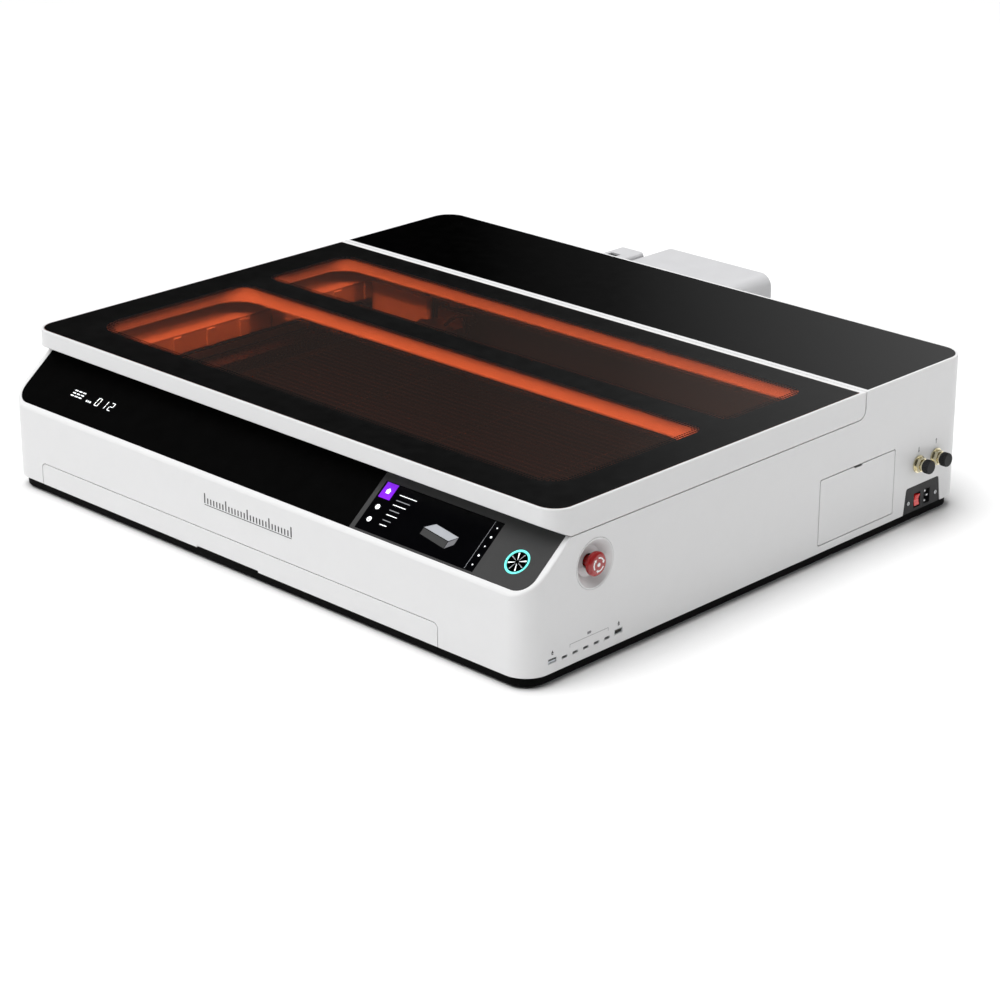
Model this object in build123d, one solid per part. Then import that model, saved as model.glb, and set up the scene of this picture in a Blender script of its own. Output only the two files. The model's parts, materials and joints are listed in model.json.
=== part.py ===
from build123d import *
import math
import os

# Desktop laser engraver: a flat white cabinet on a black plinth, with a hinged glazed lid over the work
# chamber, a sloping control fascia at the front, a moving gantry and head inside, a machine bay with the
# laser tube behind, and a fume-filter housing on the back.
# Millimetres. X is the width, +Y points to the back, +Z is up. The origin is on the standing surface,
# under the centre of the cabinet. Depths in this file are measured from the cabinet's front face.

# ---------------------------------------------------------------- driving dimensions
BODY_W = 1000.0          # cabinet width
BODY_D = 868.0           # cabinet depth, front face to back face
BODY_H = 220.0           # top of the lid and of the rear cover
CORNER_R = 35.0          # upright corners of the cabinet
WALL = 3.0               # casing wall
SHEET = 2.0              # sheet-metal thickness
CLEAR = 0.3              # clearance of a fixed fit
RUN = 0.05               # radial clearance of a running fit
HALF_W = BODY_W / 2
HALF_D = BODY_D / 2

FEET_H = 3.0             # rubber feet below the plinth
FOOT_R = 14.0
PLINTH_TOP = 17.4        # bottom edge of the white casing
PLINTH_INSET = 7.0
FRONT_H = 122.3          # top of the upright front face
DECK_Z = 182.4           # top deck of the cabinet, and the lid seam
SILL_D = 74.7            # depth where the sloping sill reaches the deck
SILL_T = 6.0             # thickness of the sloping sill
SLOPE = math.atan2(DECK_Z - FRONT_H, SILL_D)

BAY_DEPTH = 228.0        # machine bay, from the lid's rear face to the cabinet's back
LID_FRONT_D = 48.0       # depth of the lid's front face
LID_BACK_D = BODY_D - BAY_DEPTH
LID_LIP_Z = 196.5        # lower edge of the lid's upright front face
LID_CORNER_R = 31.0
LID_GAP = 2.0            # open joint between the lid and the rear cover
LID_REAR_R = 12.0        # rounding of the lid's lower rear edge
BAY_D = LID_BACK_D + LID_GAP     # front wall of the machine bay
SEAM = 1.0               # open joint between the lid and the deck, and round the drawer and hatch
GLASS_T = 4.0
GLASS_Z = BODY_H - GLASS_T
RIM = 4.0                # white rim left round the glass
REAR_RIM = 8.0           # wider rim along the lid's rear edge
BAY_RIM = 6.5            # rim in front of the rear cover plate
LEDGE = 3.0              # thickness of the ledges that carry glass
LINER_Z = 202.0          # underside of the lid liner
WINDOW_HALF_W = HALF_W - 63.0
FRONT_WINDOW = (LID_FRONT_D + 52.0, LID_BACK_D - 268.3)    # depths of its near and far edges
REAR_WINDOW = (LID_BACK_D - 200.0, LID_BACK_D - 60.0)
WINDOW_R = (45.0, 38.0)

SIDE_BAY = 87.0          # space beside the chamber that holds a rail
CHAMBER_HALF_W = HALF_W - SIDE_BAY
CHAMBER_FRONT_D = 95.0
CHAMBER_BACK_D = LID_BACK_D - 18.0
SIDE_WALL_Z = 155.0      # lower edge of the chamber's side walls, over the gantry slot
RIB_PROUD = 3.0          # how far the side walls' pillars stand out
FLOOR_Z = 62.0           # top of the chamber floor
BED_TOP = 100.0
BED_T = 14.0
SLAT_PITCH = 12.0
SLAT_T = 3.0
COVER_X = -CHAMBER_HALF_W + 125.0    # right-hand end of the mirror cover in the rear left corner
COVER_D = CHAMBER_BACK_D - 9.0
COVER_Z = 136.0

DRAWER_X = (-HALF_W + 70.0, HALF_W - 150.0)
DRAWER_TOP = 48.0
DRAWER_R = 7.0
DRAWER_D = 470.0
HINGE_D = LID_BACK_D + 28.0      # depth of the lid's hinge axis
HINGE_Z = BODY_H - 9.0
HINGE_X = (-300.0, 300.0)
HINGE_ARM_W = 8.0
HINGE_DROP = 32.0        # how far the goose neck dips below the hinge axis
PIN_R = 2.0

RAIL_X = HALF_W - 48.0   # the Y rails, left and right of the centre
RAIL_W = 12.0
BEAM_TOP = 108.0         # top of the steel beams that carry the Y rails
RAIL_H = 8.0
Y_BELT_X = HALF_W - 20.0
Y_PULLEY_Z = BEAM_TOP + 6.0
Y_PULLEY_R = 7.0
SHAFT_R = 4.0
Y_SHAFT_D = CHAMBER_BACK_D + 28.0
Y_IDLER_D = CHAMBER_FRONT_D + 17.0
BELT_W = 6.0
BELT_T = 1.5
GANTRY_D = CHAMBER_BACK_D - 72.0     # depth of the gantry beam's centre line in its parked place
GANTRY_W = 40.0
GANTRY_Z = (BEAM_TOP + 17.0, SIDE_WALL_Z - 3.0)
X_PULLEY_X = HALF_W - 48.0
X_PULLEY_Z = GANTRY_Z[1] - 6.0
X_PULLEY_R = 5.0
X_BELT_D = GANTRY_D + GANTRY_W / 2 + 5.0
HEAD_X = -CHAMBER_HALF_W + 202.0
HEAD_D = X_BELT_D + 19.0
HEAD_TOP = 192.0

FASCIA_T = 3.0
FASCIA_HALF_W = HALF_W - 9.0
FASCIA_SPLIT_X = HALF_W - 311.5
FASCIA_S = (8.0, 95.5)   # distance up the slope of the fascia's lower and upper edges
FASCIA_R = 24.0
SCREEN_X = (HALF_W - 303.0, HALF_W - 99.0)
SCREEN_S = (11.0, 83.5)
BUTTON_X = HALF_W - 49.0
BUTTON_S = 43.5
BUTTON_R = 14.0
RING_R = 17.0
ESTOP = (117.2, 136.5)   # depth and height of the stop button's axis
DISH_R = 32.5
DISH_DEEP = 12.0
KNOB_R = 15.5
KNOB_T = 11.0
ESTOP_TRAVEL = 4.0
STEM_BACK = 10.0         # how far the stem reaches behind the bezel's floor
PORT_Z = 31.5
USB_A = ((43.7, 33.5), (161.1, 34.0))    # depth and height of the two wide ports
USB_C = [65.2 + 18.78 * i for i in range(5)]
HATCH_D = (BODY_D - 317.0, BODY_D - 157.0)
HATCH_Z = (29.0, 120.0)
HATCH_R = 3.0
HATCH_SLOT = (17.0, 3.2)
HATCH_PIN_R = 0.9
COUPLING_D = (BODY_D - 103.0, BODY_D - 64.0)
COUPLING_Z = 85.5
INLET_D = (BODY_D - 131.0, BODY_D - 48.0)          # depths of the inlet plate's foot
INLET_TOP_D = (BODY_D - 126.2, BODY_D - 53.5)
INLET_TOP_Z = 54.2
INLET_Z = 32.3
SWITCH_D = BODY_D - 100.2
SOCKET_D = BODY_D - 78.0
INLET_SCREW_D = (BODY_D - 120.6, BODY_D - 59.4)

TUBE_D = BODY_D - 108.0
TUBE_Z = 122.0
TUBE_R = 27.5
TUBE_END = 88.0          # space left between the tube's end and the side of the cabinet
TUBE_MOUNT_X = (-240.0, 240.0)
FILTER_X = (-160.0, 55.0)
FILTER_DEEP = 127.0
FILTER_Z = (45.0, 205.0)
FILTER_R = 20.0
FILTER_WALL = 2.5
FAN_X = -52.0
FAN_Z = 118.0
FAN_SIDE = 120.0
FAN_T = 32.0


# ---------------------------------------------------------------- helpers
def back(depth):
    """Model Y of a depth measured from the cabinet's front face."""
    return depth - HALF_D


def block(x0, x1, d0, d1, z0, z1):
    """Box between two X values, two depths and two heights."""
    size = Box(x1 - x0, d1 - d0, z1 - z0)
    return Pos((x0 + x1) / 2, back((d0 + d1) / 2), (z0 + z1) / 2) * size


def slab(x0, x1, d0, d1, z0, z1, r_front=0.0, r_back=0.0):
    """Plate with rounded upright corners, each end with its own radius."""
    outline = Pos((x0 + x1) / 2, back((d0 + d1) / 2)) * Rectangle(x1 - x0, d1 - d0)
    ranked = outline.vertices().sort_by(Axis.Y)
    if r_front:
        outline = fillet(ranked[:2], r_front)
        ranked = outline.vertices().sort_by(Axis.Y)
    if r_back:
        outline = fillet(ranked[-2:], r_back)
    return Pos(0, 0, z0) * extrude(outline, z1 - z0)


def side_prism(points, x0, x1):
    """Outline of (depth, height) points, extruded across the machine from x0 to x1."""
    outline = make_face(Polyline([(back(d), z) for d, z in points], close=True))
    return extrude(Plane.YZ.offset(x0) * outline, x1 - x0)


def rod_x(radius, x0, x1, depth, z):
    """Round bar along X."""
    return Pos((x0 + x1) / 2, back(depth), z) * Rot(0, 90, 0) * Cylinder(radius, x1 - x0)


def rod_y(radius, x, d0, d1, z):
    """Round bar along Y."""
    return Pos(x, back((d0 + d1) / 2), z) * Rot(90, 0, 0) * Cylinder(radius, d1 - d0)


def rod_z(radius, x, depth, z0, z1):
    """Upright round bar."""
    return Pos(x, back(depth), (z0 + z1) / 2) * Cylinder(radius, z1 - z0)


def tube_x(r_out, r_in, x0, x1, depth, z):
    """Round tube along X."""
    return rod_x(r_out, x0, x1, depth, z) - rod_x(r_in, x0 - 1, x1 + 1, depth, z)


def slot_x(length, height, x0, x1, depth, z):
    """Stadium-ended bar along X, long in depth."""
    face = Plane.YZ.offset(x0) * Pos(back(depth), z) * SlotOverall(length, height)
    return extrude(face, x1 - x0)


def on_slope(up, out=0.0):
    """Plane on the sloping sill: local X across the machine, local Y up the slope, local Z outwards."""
    normal = Vector(0, -math.sin(SLOPE), math.cos(SLOPE))
    along = Vector(0, math.cos(SLOPE), math.sin(SLOPE))
    start = Vector(0, back(0), FRONT_H) + along * up + normal * out
    return Plane(origin=start, x_dir=(1, 0, 0), z_dir=normal)


def slope_offset(inside):
    """Two (depth, height) points of the sill's line moved inwards, where it meets a wall and the deck."""
    d0, z0 = inside * math.sin(SLOPE), FRONT_H - inside * math.cos(SLOPE)
    low = (WALL, z0 + (WALL - d0) * math.tan(SLOPE))
    high = (d0 + (DECK_Z - z0) / math.tan(SLOPE), DECK_Z)
    return low, high


def both(make):
    """The same piece on the left and on the right."""
    return [make(-1), make(1)]


parts = {}


def keep(name, *solids):
    """Stores the solids of one node."""
    found = [s for shape in solids for s in shape.solids()]
    parts[name] = found[0] if len(found) == 1 else Compound(children=found)


# ---------------------------------------------------------------- cabinet
def casing_shell():
    """The white surround as one hollow shape, before it is parted into its four mouldings."""
    inlet_r = LID_REAR_R + LID_GAP
    arc = [
        (BAY_D - inlet_r + inlet_r * math.sin(math.radians(a)),
         DECK_Z + inlet_r - inlet_r * math.cos(math.radians(a)))
        for a in range(0, 91, 15)
    ]
    bay_top = GLASS_Z - LEDGE
    outer = side_prism(
        [(0, PLINTH_TOP), (0, FRONT_H), (SILL_D, DECK_Z), *arc, (BAY_D, bay_top),
         (BODY_D, bay_top), (BODY_D, PLINTH_TOP)], -HALF_W, HALF_W)
    outer &= slab(-HALF_W, HALF_W, 0, BODY_D, 0, BODY_H, CORNER_R, CORNER_R)
    low, high = slope_offset(SILL_T)
    over = BODY_H + 10
    inner = side_prism(
        [(WALL, 0), low, high, (high[0], over), (BODY_D - WALL, over), (BODY_D - WALL, 0)],
        -HALF_W, HALF_W)
    inner &= slab(-HALF_W + WALL, HALF_W - WALL, WALL, BODY_D - WALL, 0, over,
                  CORNER_R - WALL, CORNER_R - WALL)
    return outer - inner


def fascia_outline(grow=0.0):
    """Whole outline of the fascia on the slope, with its two lower corners rounded."""
    s0, s1 = FASCIA_S[0] - grow, FASCIA_S[1] + grow
    face = Pos(0, (s0 + s1) / 2) * Rectangle(2 * (FASCIA_HALF_W + grow), s1 - s0)
    return fillet(face.vertices().sort_by(Axis.Y)[:2], FASCIA_R)


def port_holes(grow):
    """Openings for the row of data ports, through the right-hand wall."""
    x0, x1 = HALF_W - WALL - 1, HALF_W + 1
    holes = [slot_x(10.4 + 2 * grow, 4.2 + 2 * grow, x0, x1, d, PORT_Z) for d in USB_C]
    for d, z in USB_A:
        holes.append(block(x0, x1, d - 7.4 - grow, d + 7.4 + grow, z - 3.6 - grow, z + 3.6 + grow))
    return holes


def inlet_outline(grow):
    """Trapezium of the mains inlet plate, as a face on the right-hand wall."""
    corners = [
        (back(INLET_D[0]) - grow, PLINTH_TOP - 1), (back(INLET_TOP_D[0]) - grow, INLET_TOP_Z + grow),
        (back(INLET_TOP_D[1]) + grow, INLET_TOP_Z + grow), (back(INLET_D[1]) + grow, PLINTH_TOP - 1)]
    face = make_face(Polyline(corners, close=True))
    return fillet(face.vertices().sort_by(Axis.Y)[-2:], 4.0)


def hatch_outline(grow):
    """Outline of the side hatch as a face on the right-hand wall."""
    wide = HATCH_D[1] - HATCH_D[0] + 2 * grow
    high = HATCH_Z[1] - HATCH_Z[0] + 2 * grow
    middle = Pos(back(sum(HATCH_D) / 2), sum(HATCH_Z) / 2)
    return middle * RectangleRounded(wide, high, HATCH_R)


def hatch_pins(radius):
    """Hinge pins of the side hatch, in line along its lower edge."""
    x, z = HALF_W - WALL / 2, HATCH_Z[0] + WALL / 2
    near, far = HATCH_D
    return rod_y(radius, x, near - 4, near + 4, z) + rod_y(radius, x, far - 4, far + 4, z)


def build_casing():
    """Front, left, right and rear mouldings of the white surround."""
    shell = casing_shell()
    shell -= extrude(on_slope(0, -FASCIA_T) * fascia_outline(CLEAR), FASCIA_T + 2)
    shell -= extrude(on_slope(BUTTON_S, -SILL_T - 2) * Pos(BUTTON_X, 0) * Circle(BUTTON_R + CLEAR), SILL_T + 2)
    screen_w, screen_h = SCREEN_X[1] - SCREEN_X[0], SCREEN_S[1] - SCREEN_S[0]
    middle = Pos(sum(SCREEN_X) / 2, 0)
    behind = on_slope(sum(SCREEN_S) / 2, -SILL_T - 2) * middle * Rectangle(screen_w - 8, screen_h - 8)
    shell -= extrude(behind, SILL_T + 2)
    mouth = block(DRAWER_X[0] - SEAM, DRAWER_X[1] + SEAM, -1, WALL + 1, 0, DRAWER_TOP + SEAM)
    shell -= fillet(mouth.edges().filter_by(Axis.Y).sort_by(Axis.Z)[-2:], DRAWER_R + SEAM)
    for hole in port_holes(0.0):
        shell -= hole
    shell -= rod_x(DISH_R + CLEAR, HALF_W - WALL - 1, HALF_W + 1, *ESTOP)
    wall = Plane.YZ.offset(HALF_W - WALL - 1)
    shell -= extrude(wall * hatch_outline(SEAM), WALL + 2)
    shell -= hatch_pins(HATCH_PIN_R + RUN)
    shell -= extrude(wall * inlet_outline(CLEAR), WALL + 2)
    for d in COUPLING_D:
        shell -= rod_x(8.0, HALF_W - WALL - 1, HALF_W + 1, d, COUPLING_Z)
    shell -= rod_y(FAN_SIDE / 2 - 5, FAN_X, BODY_D - WALL - 1, BODY_D + 1, FAN_Z)
    front_end = SILL_D + 1.3
    rear_start = BODY_D - CORNER_R - 1
    over = BODY_H + 10
    keep("casing_front", shell & block(-HALF_W - 1, HALF_W + 1, -1, front_end, 0, over))
    keep("casing_rear", shell & block(-HALF_W - 1, HALF_W + 1, rear_start, BODY_D + 1, 0, over))
    keep("casing_left", shell & block(-HALF_W - 1, 0, front_end, rear_start, 0, over)
         & block(-HALF_W - 1, -HALF_W + WALL, 0, BODY_D, 0, over))
    keep("casing_right", shell & block(0, HALF_W + 1, front_end, rear_start, 0, over)
         & block(HALF_W - WALL, HALF_W + 1, 0, BODY_D, 0, over))


def build_plinth():
    """Black floor tray under the casing, with the drawer's runners, and its rubber feet."""
    x0, d0, d1 = HALF_W - PLINTH_INSET, PLINTH_INSET, BODY_D - PLINTH_INSET
    r = CORNER_R - PLINTH_INSET
    tray = slab(-x0, x0, d0, d1, FEET_H, PLINTH_TOP, r, r)
    tray -= slab(-x0 + WALL, x0 - WALL, d0 + WALL, d1 - WALL, FEET_H + WALL, PLINTH_TOP + 1, r - WALL, r - WALL)
    tray -= block(DRAWER_X[0] - SEAM, DRAWER_X[1] + SEAM, 0, d0 + WALL + 1, PLINTH_TOP - SEAM, PLINTH_TOP + 1)
    for x in (DRAWER_X[0] + 60, sum(DRAWER_X) / 2, DRAWER_X[1] - 60):
        tray += block(x - 5, x + 5, d0 + WALL, DRAWER_D, FEET_H + WALL - 0.5, PLINTH_TOP + 1)
    for x, d in foot_places():
        tray -= rod_z(FOOT_R + CLEAR, x, d, 0, FEET_H + 1)
    keep("base_plinth", tray)
    keep("rubber_feet", *[rod_z(FOOT_R, x, d, 0, FEET_H + 1) for x, d in foot_places()])


def foot_places():
    """X and depth of each rubber foot."""
    reach = HALF_W - 60
    ends = [(x, d) for x in (-reach, 0, reach) for d in (60, BODY_D - 60)]
    return ends + [(0, HALF_D)]


def hinge_slots(x, d0, d1, z0, z1):
    """Clearance cut for one hinge arm."""
    half = HINGE_ARM_W / 2 + 2
    return block(x - half, x + half, d0, d1, z0, z1)


def build_deck():
    """White top deck with the chamber opening, and the frame and black plate of the rear cover."""
    low, high = slope_offset(SILL_T)
    edge = HALF_W - WALL
    deck = block(-edge, edge, high[0], BAY_D, DECK_Z - WALL, DECK_Z)
    deck -= block(-CHAMBER_HALF_W, CHAMBER_HALF_W, CHAMBER_FRONT_D, CHAMBER_BACK_D, DECK_Z - WALL - 1, DECK_Z + 1)
    for x in HINGE_X:
        deck -= hinge_slots(x, CHAMBER_BACK_D - 1, BAY_D + 1, DECK_Z - WALL - 1, DECK_Z + 1)
    keep("top_deck", deck)
    top = slab(-HALF_W, HALF_W, BAY_D, BODY_D, GLASS_Z - LEDGE, BODY_H, 0, CORNER_R)
    top -= slab(-HALF_W + RIM, HALF_W - RIM, BAY_D + BAY_RIM, BODY_D - RIM, GLASS_Z, BODY_H + 1,
                0, CORNER_R - RIM)
    top -= slab(-HALF_W + 22, HALF_W - 22, BAY_D + BAY_RIM + 5, BODY_D - 22, 0, BODY_H, 0, CORNER_R - 22)
    top += block(-edge, edge, BAY_D, BAY_D + WALL, DECK_Z - WALL, GLASS_Z - LEDGE)
    for x in HINGE_X:
        top -= hinge_slots(x, BAY_D - 1, BAY_D + WALL + 1, 0, GLASS_Z - LEDGE)
    keep("rear_cover_frame", top)
    inset = RIM + CLEAR / 2
    plate = slab(-HALF_W + inset, HALF_W - inset, BAY_D + BAY_RIM + CLEAR / 2, BODY_D - inset,
                 GLASS_Z, BODY_H, 0, CORNER_R - inset)
    keep("rear_cover_plate", plate)


# ---------------------------------------------------------------- controls
def build_fascia():
    """Black sloping fascia in two pieces, the touch display, and the start button with its light ring."""
    whole = fascia_outline()
    gap = CLEAR
    reach = BODY_W
    left = whole & Pos(FASCIA_SPLIT_X - gap - reach / 2, 0) * Rectangle(reach, reach)
    keep("fascia_left", extrude(on_slope(0, -FASCIA_T) * left, FASCIA_T))
    wide, high = SCREEN_X[1] - SCREEN_X[0], SCREEN_S[1] - SCREEN_S[0]
    middle = Pos(sum(SCREEN_X) / 2, sum(SCREEN_S) / 2)
    right = whole & Pos(FASCIA_SPLIT_X + gap + reach / 2, 0) * Rectangle(reach, reach)
    right -= middle * Rectangle(wide + 2 * gap, high + 2 * gap)
    right -= Pos(BUTTON_X, BUTTON_S) * Circle(RING_R + gap)
    keep("fascia_right", extrude(on_slope(0, -FASCIA_T) * right, FASCIA_T))
    screen = extrude(on_slope(0, -FASCIA_T) * middle * Rectangle(wide, high), FASCIA_T)
    screen += extrude(on_slope(0, -SILL_T - 4) * middle * Rectangle(wide - 10, high - 10), SILL_T + 4 - FASCIA_T)
    keep("touch_display", screen)
    ring = Circle(RING_R) - Circle(BUTTON_R + gap)
    keep("start_ring", extrude(on_slope(BUTTON_S, -FASCIA_T) * Pos(BUTTON_X, 0) * ring, FASCIA_T))
    button = extrude(on_slope(BUTTON_S, -SILL_T) * Pos(BUTTON_X, 0) * Circle(BUTTON_R), SILL_T - 0.4)
    keep("start_button", button)


def build_stop_button():
    """Emergency stop: the dished bezel, the sliding stem and the mushroom knob that twists on it."""
    depth, z = ESTOP
    floor_x = HALF_W - DISH_DEEP
    profile = [(9.0, floor_x - 2), (21.0, floor_x - 2), (DISH_R - 4, HALF_W - WALL - 1), (DISH_R, HALF_W - WALL - 1),
               (DISH_R, HALF_W), (DISH_R - 1.5, HALF_W), (DISH_R - 6, HALF_W - 4.5), (20.0, floor_x),
               (9.0, floor_x)]
    face = make_face(Polyline([(x, r) for r, x in profile], close=True))
    dish = Pos(0, back(depth), z) * revolve(face, Axis.X)
    keep("estop_bezel", dish)
    knob_x = floor_x + ESTOP_TRAVEL + 3
    stem = rod_x(7.0, floor_x - STEM_BACK, knob_x, depth, z) + rod_x(3.0, knob_x, knob_x + 6, depth, z)
    keep("estop_stem", stem)
    outline = [(3.0 + RUN, knob_x), (10.0, knob_x), (10.0, knob_x + 2), (KNOB_R - 1, knob_x + 2), (KNOB_R, knob_x + 4),
               (KNOB_R, knob_x + KNOB_T - 3), (KNOB_R - 3, knob_x + KNOB_T), (0, knob_x + KNOB_T),
               (0, knob_x + 6.2), (3.0 + RUN, knob_x + 6.2)]
    face = make_face(Polyline([(x, r) for r, x in outline], close=True))
    keep("estop_knob", Pos(0, back(depth), z) * revolve(face, Axis.X))


def build_ports():
    """Row of data ports on the right-hand side, and the two circuit boards."""
    shells = []
    x0 = HALF_W - 16
    for d in USB_C:
        body = slot_x(10.0, 3.8, x0, HALF_W - 0.6, d, PORT_Z)
        body -= slot_x(8.6, 2.6, x0 + 3, HALF_W, d, PORT_Z)
        shells.append(body)
    for d, z in USB_A:
        body = block(x0, HALF_W - 0.6, d - 7.1, d + 7.1, z - 3.3, z + 3.3)
        body -= block(x0 + 3, HALF_W, d - 6.4, d + 6.4, z - 2.6, z + 2.6)
        shells.append(body)
    keep("data_ports", *shells)
    ports_board = block(x0 - 1.6, x0, 30, 176, 22, 44)
    left, near, level = HALF_W - 235, BODY_D - 168, 30.0
    wide, deep = 195.0, 150.0
    main_board = block(left, left + wide, near, near + deep, level, level + 1.6)
    for x, d, size, high in ((45, 40, 34, 12), (105, 100, 26, 8), (155, 35, 30, 15), (35, 125, 18, 10)):
        x0, d0 = left + x - size / 2, near + d - size / 2
        main_board += block(x0, x0 + size, d0, d0 + size, level + 1.6, level + 1.6 + high)
    for x in (left + 8, left + wide - 8):
        for d in (near + 8, near + deep - 8):
            main_board += rod_z(3, x, d, FEET_H + WALL, level)
    keep("circuit_boards", ports_board, main_board)


def build_hatch():
    """Side hatch with its finger slot."""
    door = extrude(Plane.YZ.offset(HALF_W - WALL) * hatch_outline(0), WALL)
    middle = sum(HATCH_D) / 2
    door -= slot_x(*HATCH_SLOT, HALF_W - WALL - 1, HALF_W + 1, middle, HATCH_Z[1] - HATCH_SLOT[1] / 2 + 0.8)
    door += hatch_pins(HATCH_PIN_R)
    keep("side_hatch", door)


def build_inlet():
    """Mains inlet: black plate, appliance socket with its pins, rocker switch and the two screws."""
    face_x = HALF_W - 0.6
    plate = extrude(Plane.YZ.offset(HALF_W - WALL) * inlet_outline(0), face_x - HALF_W + WALL)
    plate &= block(HALF_W - 10, HALF_W, INLET_D[0], BODY_D, PLINTH_TOP, 100)
    plate -= block(HALF_W - 10, HALF_W, SOCKET_D - 8.3, SOCKET_D + 8.3, INLET_Z - 12.3, INLET_Z + 12.3)
    plate -= block(HALF_W - 10, HALF_W, SWITCH_D - 7, SWITCH_D + 7, INLET_Z - 10.5, INLET_Z + 10.5)
    for d in INLET_SCREW_D:
        plate -= rod_x(1.6, HALF_W - 10, HALF_W, d, INLET_Z)
    keep("inlet_plate", plate)
    deep = HALF_W - 26
    socket = block(deep, face_x, SOCKET_D - 8, SOCKET_D + 8, INLET_Z - 12, INLET_Z + 12)
    cavity = block(deep + 9, face_x + 1, SOCKET_D - 6.5, SOCKET_D + 6.5, INLET_Z - 10.5, INLET_Z + 10.5)
    socket -= cavity
    for d, z in ((-2.6, 7.0), (2.6, 0.0), (-2.6, -7.0)):
        socket += block(deep + 8, face_x - 2, SOCKET_D + d - 2, SOCKET_D + d + 2, INLET_Z + z - 1, INLET_Z + z + 1)
    frame = block(deep, HALF_W - WALL, SWITCH_D - 6.9, SWITCH_D + 6.9, INLET_Z - 10.4, INLET_Z + 10.4)
    frame -= block(deep + 8, HALF_W, SWITCH_D - 5.6, SWITCH_D + 5.6, INLET_Z - 9.4, INLET_Z + 9.4)
    frame -= rod_y(1.0 + RUN, HALF_W - 6, SWITCH_D - 6.6, SWITCH_D + 6.6, INLET_Z)
    keep("mains_socket", socket, frame)
    rocker = side_rocker()
    keep("rocker_switch", rocker)
    heads = [rod_x(2.6, face_x, face_x + 1.2, d, INLET_Z) for d in INLET_SCREW_D]
    shanks = [rod_x(1.5, HALF_W - 12, face_x, d, INLET_Z) for d in INLET_SCREW_D]
    keep("inlet_screws", *[head + shank for head, shank in zip(heads, shanks)])


def side_rocker():
    """Rocker of the mains switch, shallow V in section, tilted to its on side."""
    x0 = HALF_W - 9
    points = [(x0, -6.0), (x0, 6.0), (HALF_W + 1.0, 8.0), (HALF_W - 1.8, 0.0), (HALF_W - 0.2, -8.0)]
    face = make_face(Polyline([(x, INLET_Z + z) for x, z in points], close=True))
    rocker = extrude(Plane.XZ.offset(-back(SWITCH_D + 5.2)) * face, 10.4)
    return rocker + rod_y(1.0, HALF_W - 6, SWITCH_D - 6.4, SWITCH_D + 6.4, INLET_Z)


def build_couplings():
    """Two coolant quick couplings and their push-on caps."""
    bodies = []
    for end, d in zip(("front", "rear"), COUPLING_D):
        body = rod_x(7.8, HALF_W - 16, HALF_W, d, COUPLING_Z)
        body += rod_x(12.0, HALF_W, HALF_W + 2.5, d, COUPLING_Z)
        hexagon = Plane.YZ.offset(HALF_W + 2.5) * Pos(back(d), COUPLING_Z) * RegularPolygon(10.5, 6)
        body += extrude(hexagon, 6.0)
        body += rod_x(7.0, HALF_W + 8.5, HALF_W + 18, d, COUPLING_Z)
        body -= rod_x(4.0, HALF_W - 17, HALF_W + 19, d, COUPLING_Z)
        bodies.append(body)
        cap = rod_x(9.2, HALF_W + 12, HALF_W + 22, d, COUPLING_Z)
        cap -= rod_x(7.0 + CLEAR, HALF_W + 11, HALF_W + 18.3, d, COUPLING_Z)
        keep(f"coupling_cap_{end}", cap)
    keep("coupling_bodies", *bodies)


# ---------------------------------------------------------------- lid
def windows(z0, z1, grow=0.0):
    """The lid's two window openings."""
    cuts = []
    for (d0, d1), r in zip((FRONT_WINDOW, REAR_WINDOW), WINDOW_R):
        reach = WINDOW_HALF_W + grow
        cuts.append(slab(-reach, reach, d0 - grow, d1 + grow, z0, z1, r + grow, r + grow))
    return cuts


def build_lid():
    """Lid frame, inner liner, tinted glass and hinge arms."""
    foot = DECK_Z + SEAM
    body = slab(-HALF_W, HALF_W, LID_FRONT_D, LID_BACK_D, foot, BODY_H, LID_CORNER_R, 0)
    rear_low = body.edges().filter_by(Axis.X).sort_by(Axis.Y)[-2:].sort_by(Axis.Z)[0]
    body = fillet(rear_low, LID_REAR_R)
    lip = [(LID_FRONT_D - 1, foot - 5), (LID_FRONT_D - 1, LID_LIP_Z + 0.5), (LID_FRONT_D, LID_LIP_Z), (SILL_D + 0.3, foot),
           (SILL_D + 5, foot - 5)]
    body -= side_prism(lip, -HALF_W - 1, HALF_W + 1)
    ledge_z = GLASS_Z - LEDGE
    glass_back = LID_BACK_D - REAR_RIM
    body -= slab(-HALF_W + RIM, HALF_W - RIM, LID_FRONT_D + RIM, glass_back, GLASS_Z, BODY_H + 1,
                 LID_CORNER_R - RIM, 2)
    body -= slab(-HALF_W + WALL, HALF_W - WALL, SILL_D + 8, LID_BACK_D - WALL, foot - 1, ledge_z, 4, 0)
    body -= slab(-HALF_W + 24, HALF_W - 24, SILL_D + 10, glass_back - 14, foot - 1, BODY_H, 6, 6)
    keep("lid_frame", body)
    edge = WALL + CLEAR
    near, far = SILL_D + 8 + CLEAR, LID_BACK_D - WALL - 6
    liner = slab(-HALF_W + edge, HALF_W - edge, near, far, LINER_Z, LINER_Z + SHEET, 4, 4)
    liner_rim = slab(-HALF_W + edge, HALF_W - edge, near, far, LINER_Z, ledge_z, 4, 4)
    liner_rim -= slab(-HALF_W + edge + SHEET, HALF_W - edge - SHEET, near + SHEET, far - SHEET,
                      LINER_Z - 1, ledge_z + 1, 3, 3)
    liner += liner_rim
    for collar, opening in zip(windows(LINER_Z, GLASS_Z, SHEET), windows(0, BODY_H + 1)):
        liner = liner + collar - opening
    keep("lid_liner", liner)
    slack = CLEAR / 2
    outline = (-HALF_W + RIM + slack, HALF_W - RIM - slack, LID_FRONT_D + RIM + slack, glass_back - slack)
    r = LID_CORNER_R - RIM
    keep("lid_glass", slab(*outline, GLASS_Z, BODY_H, r, 2))
    keep("hinge_arms", *[hinge_arm(x) for x in HINGE_X])


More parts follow.
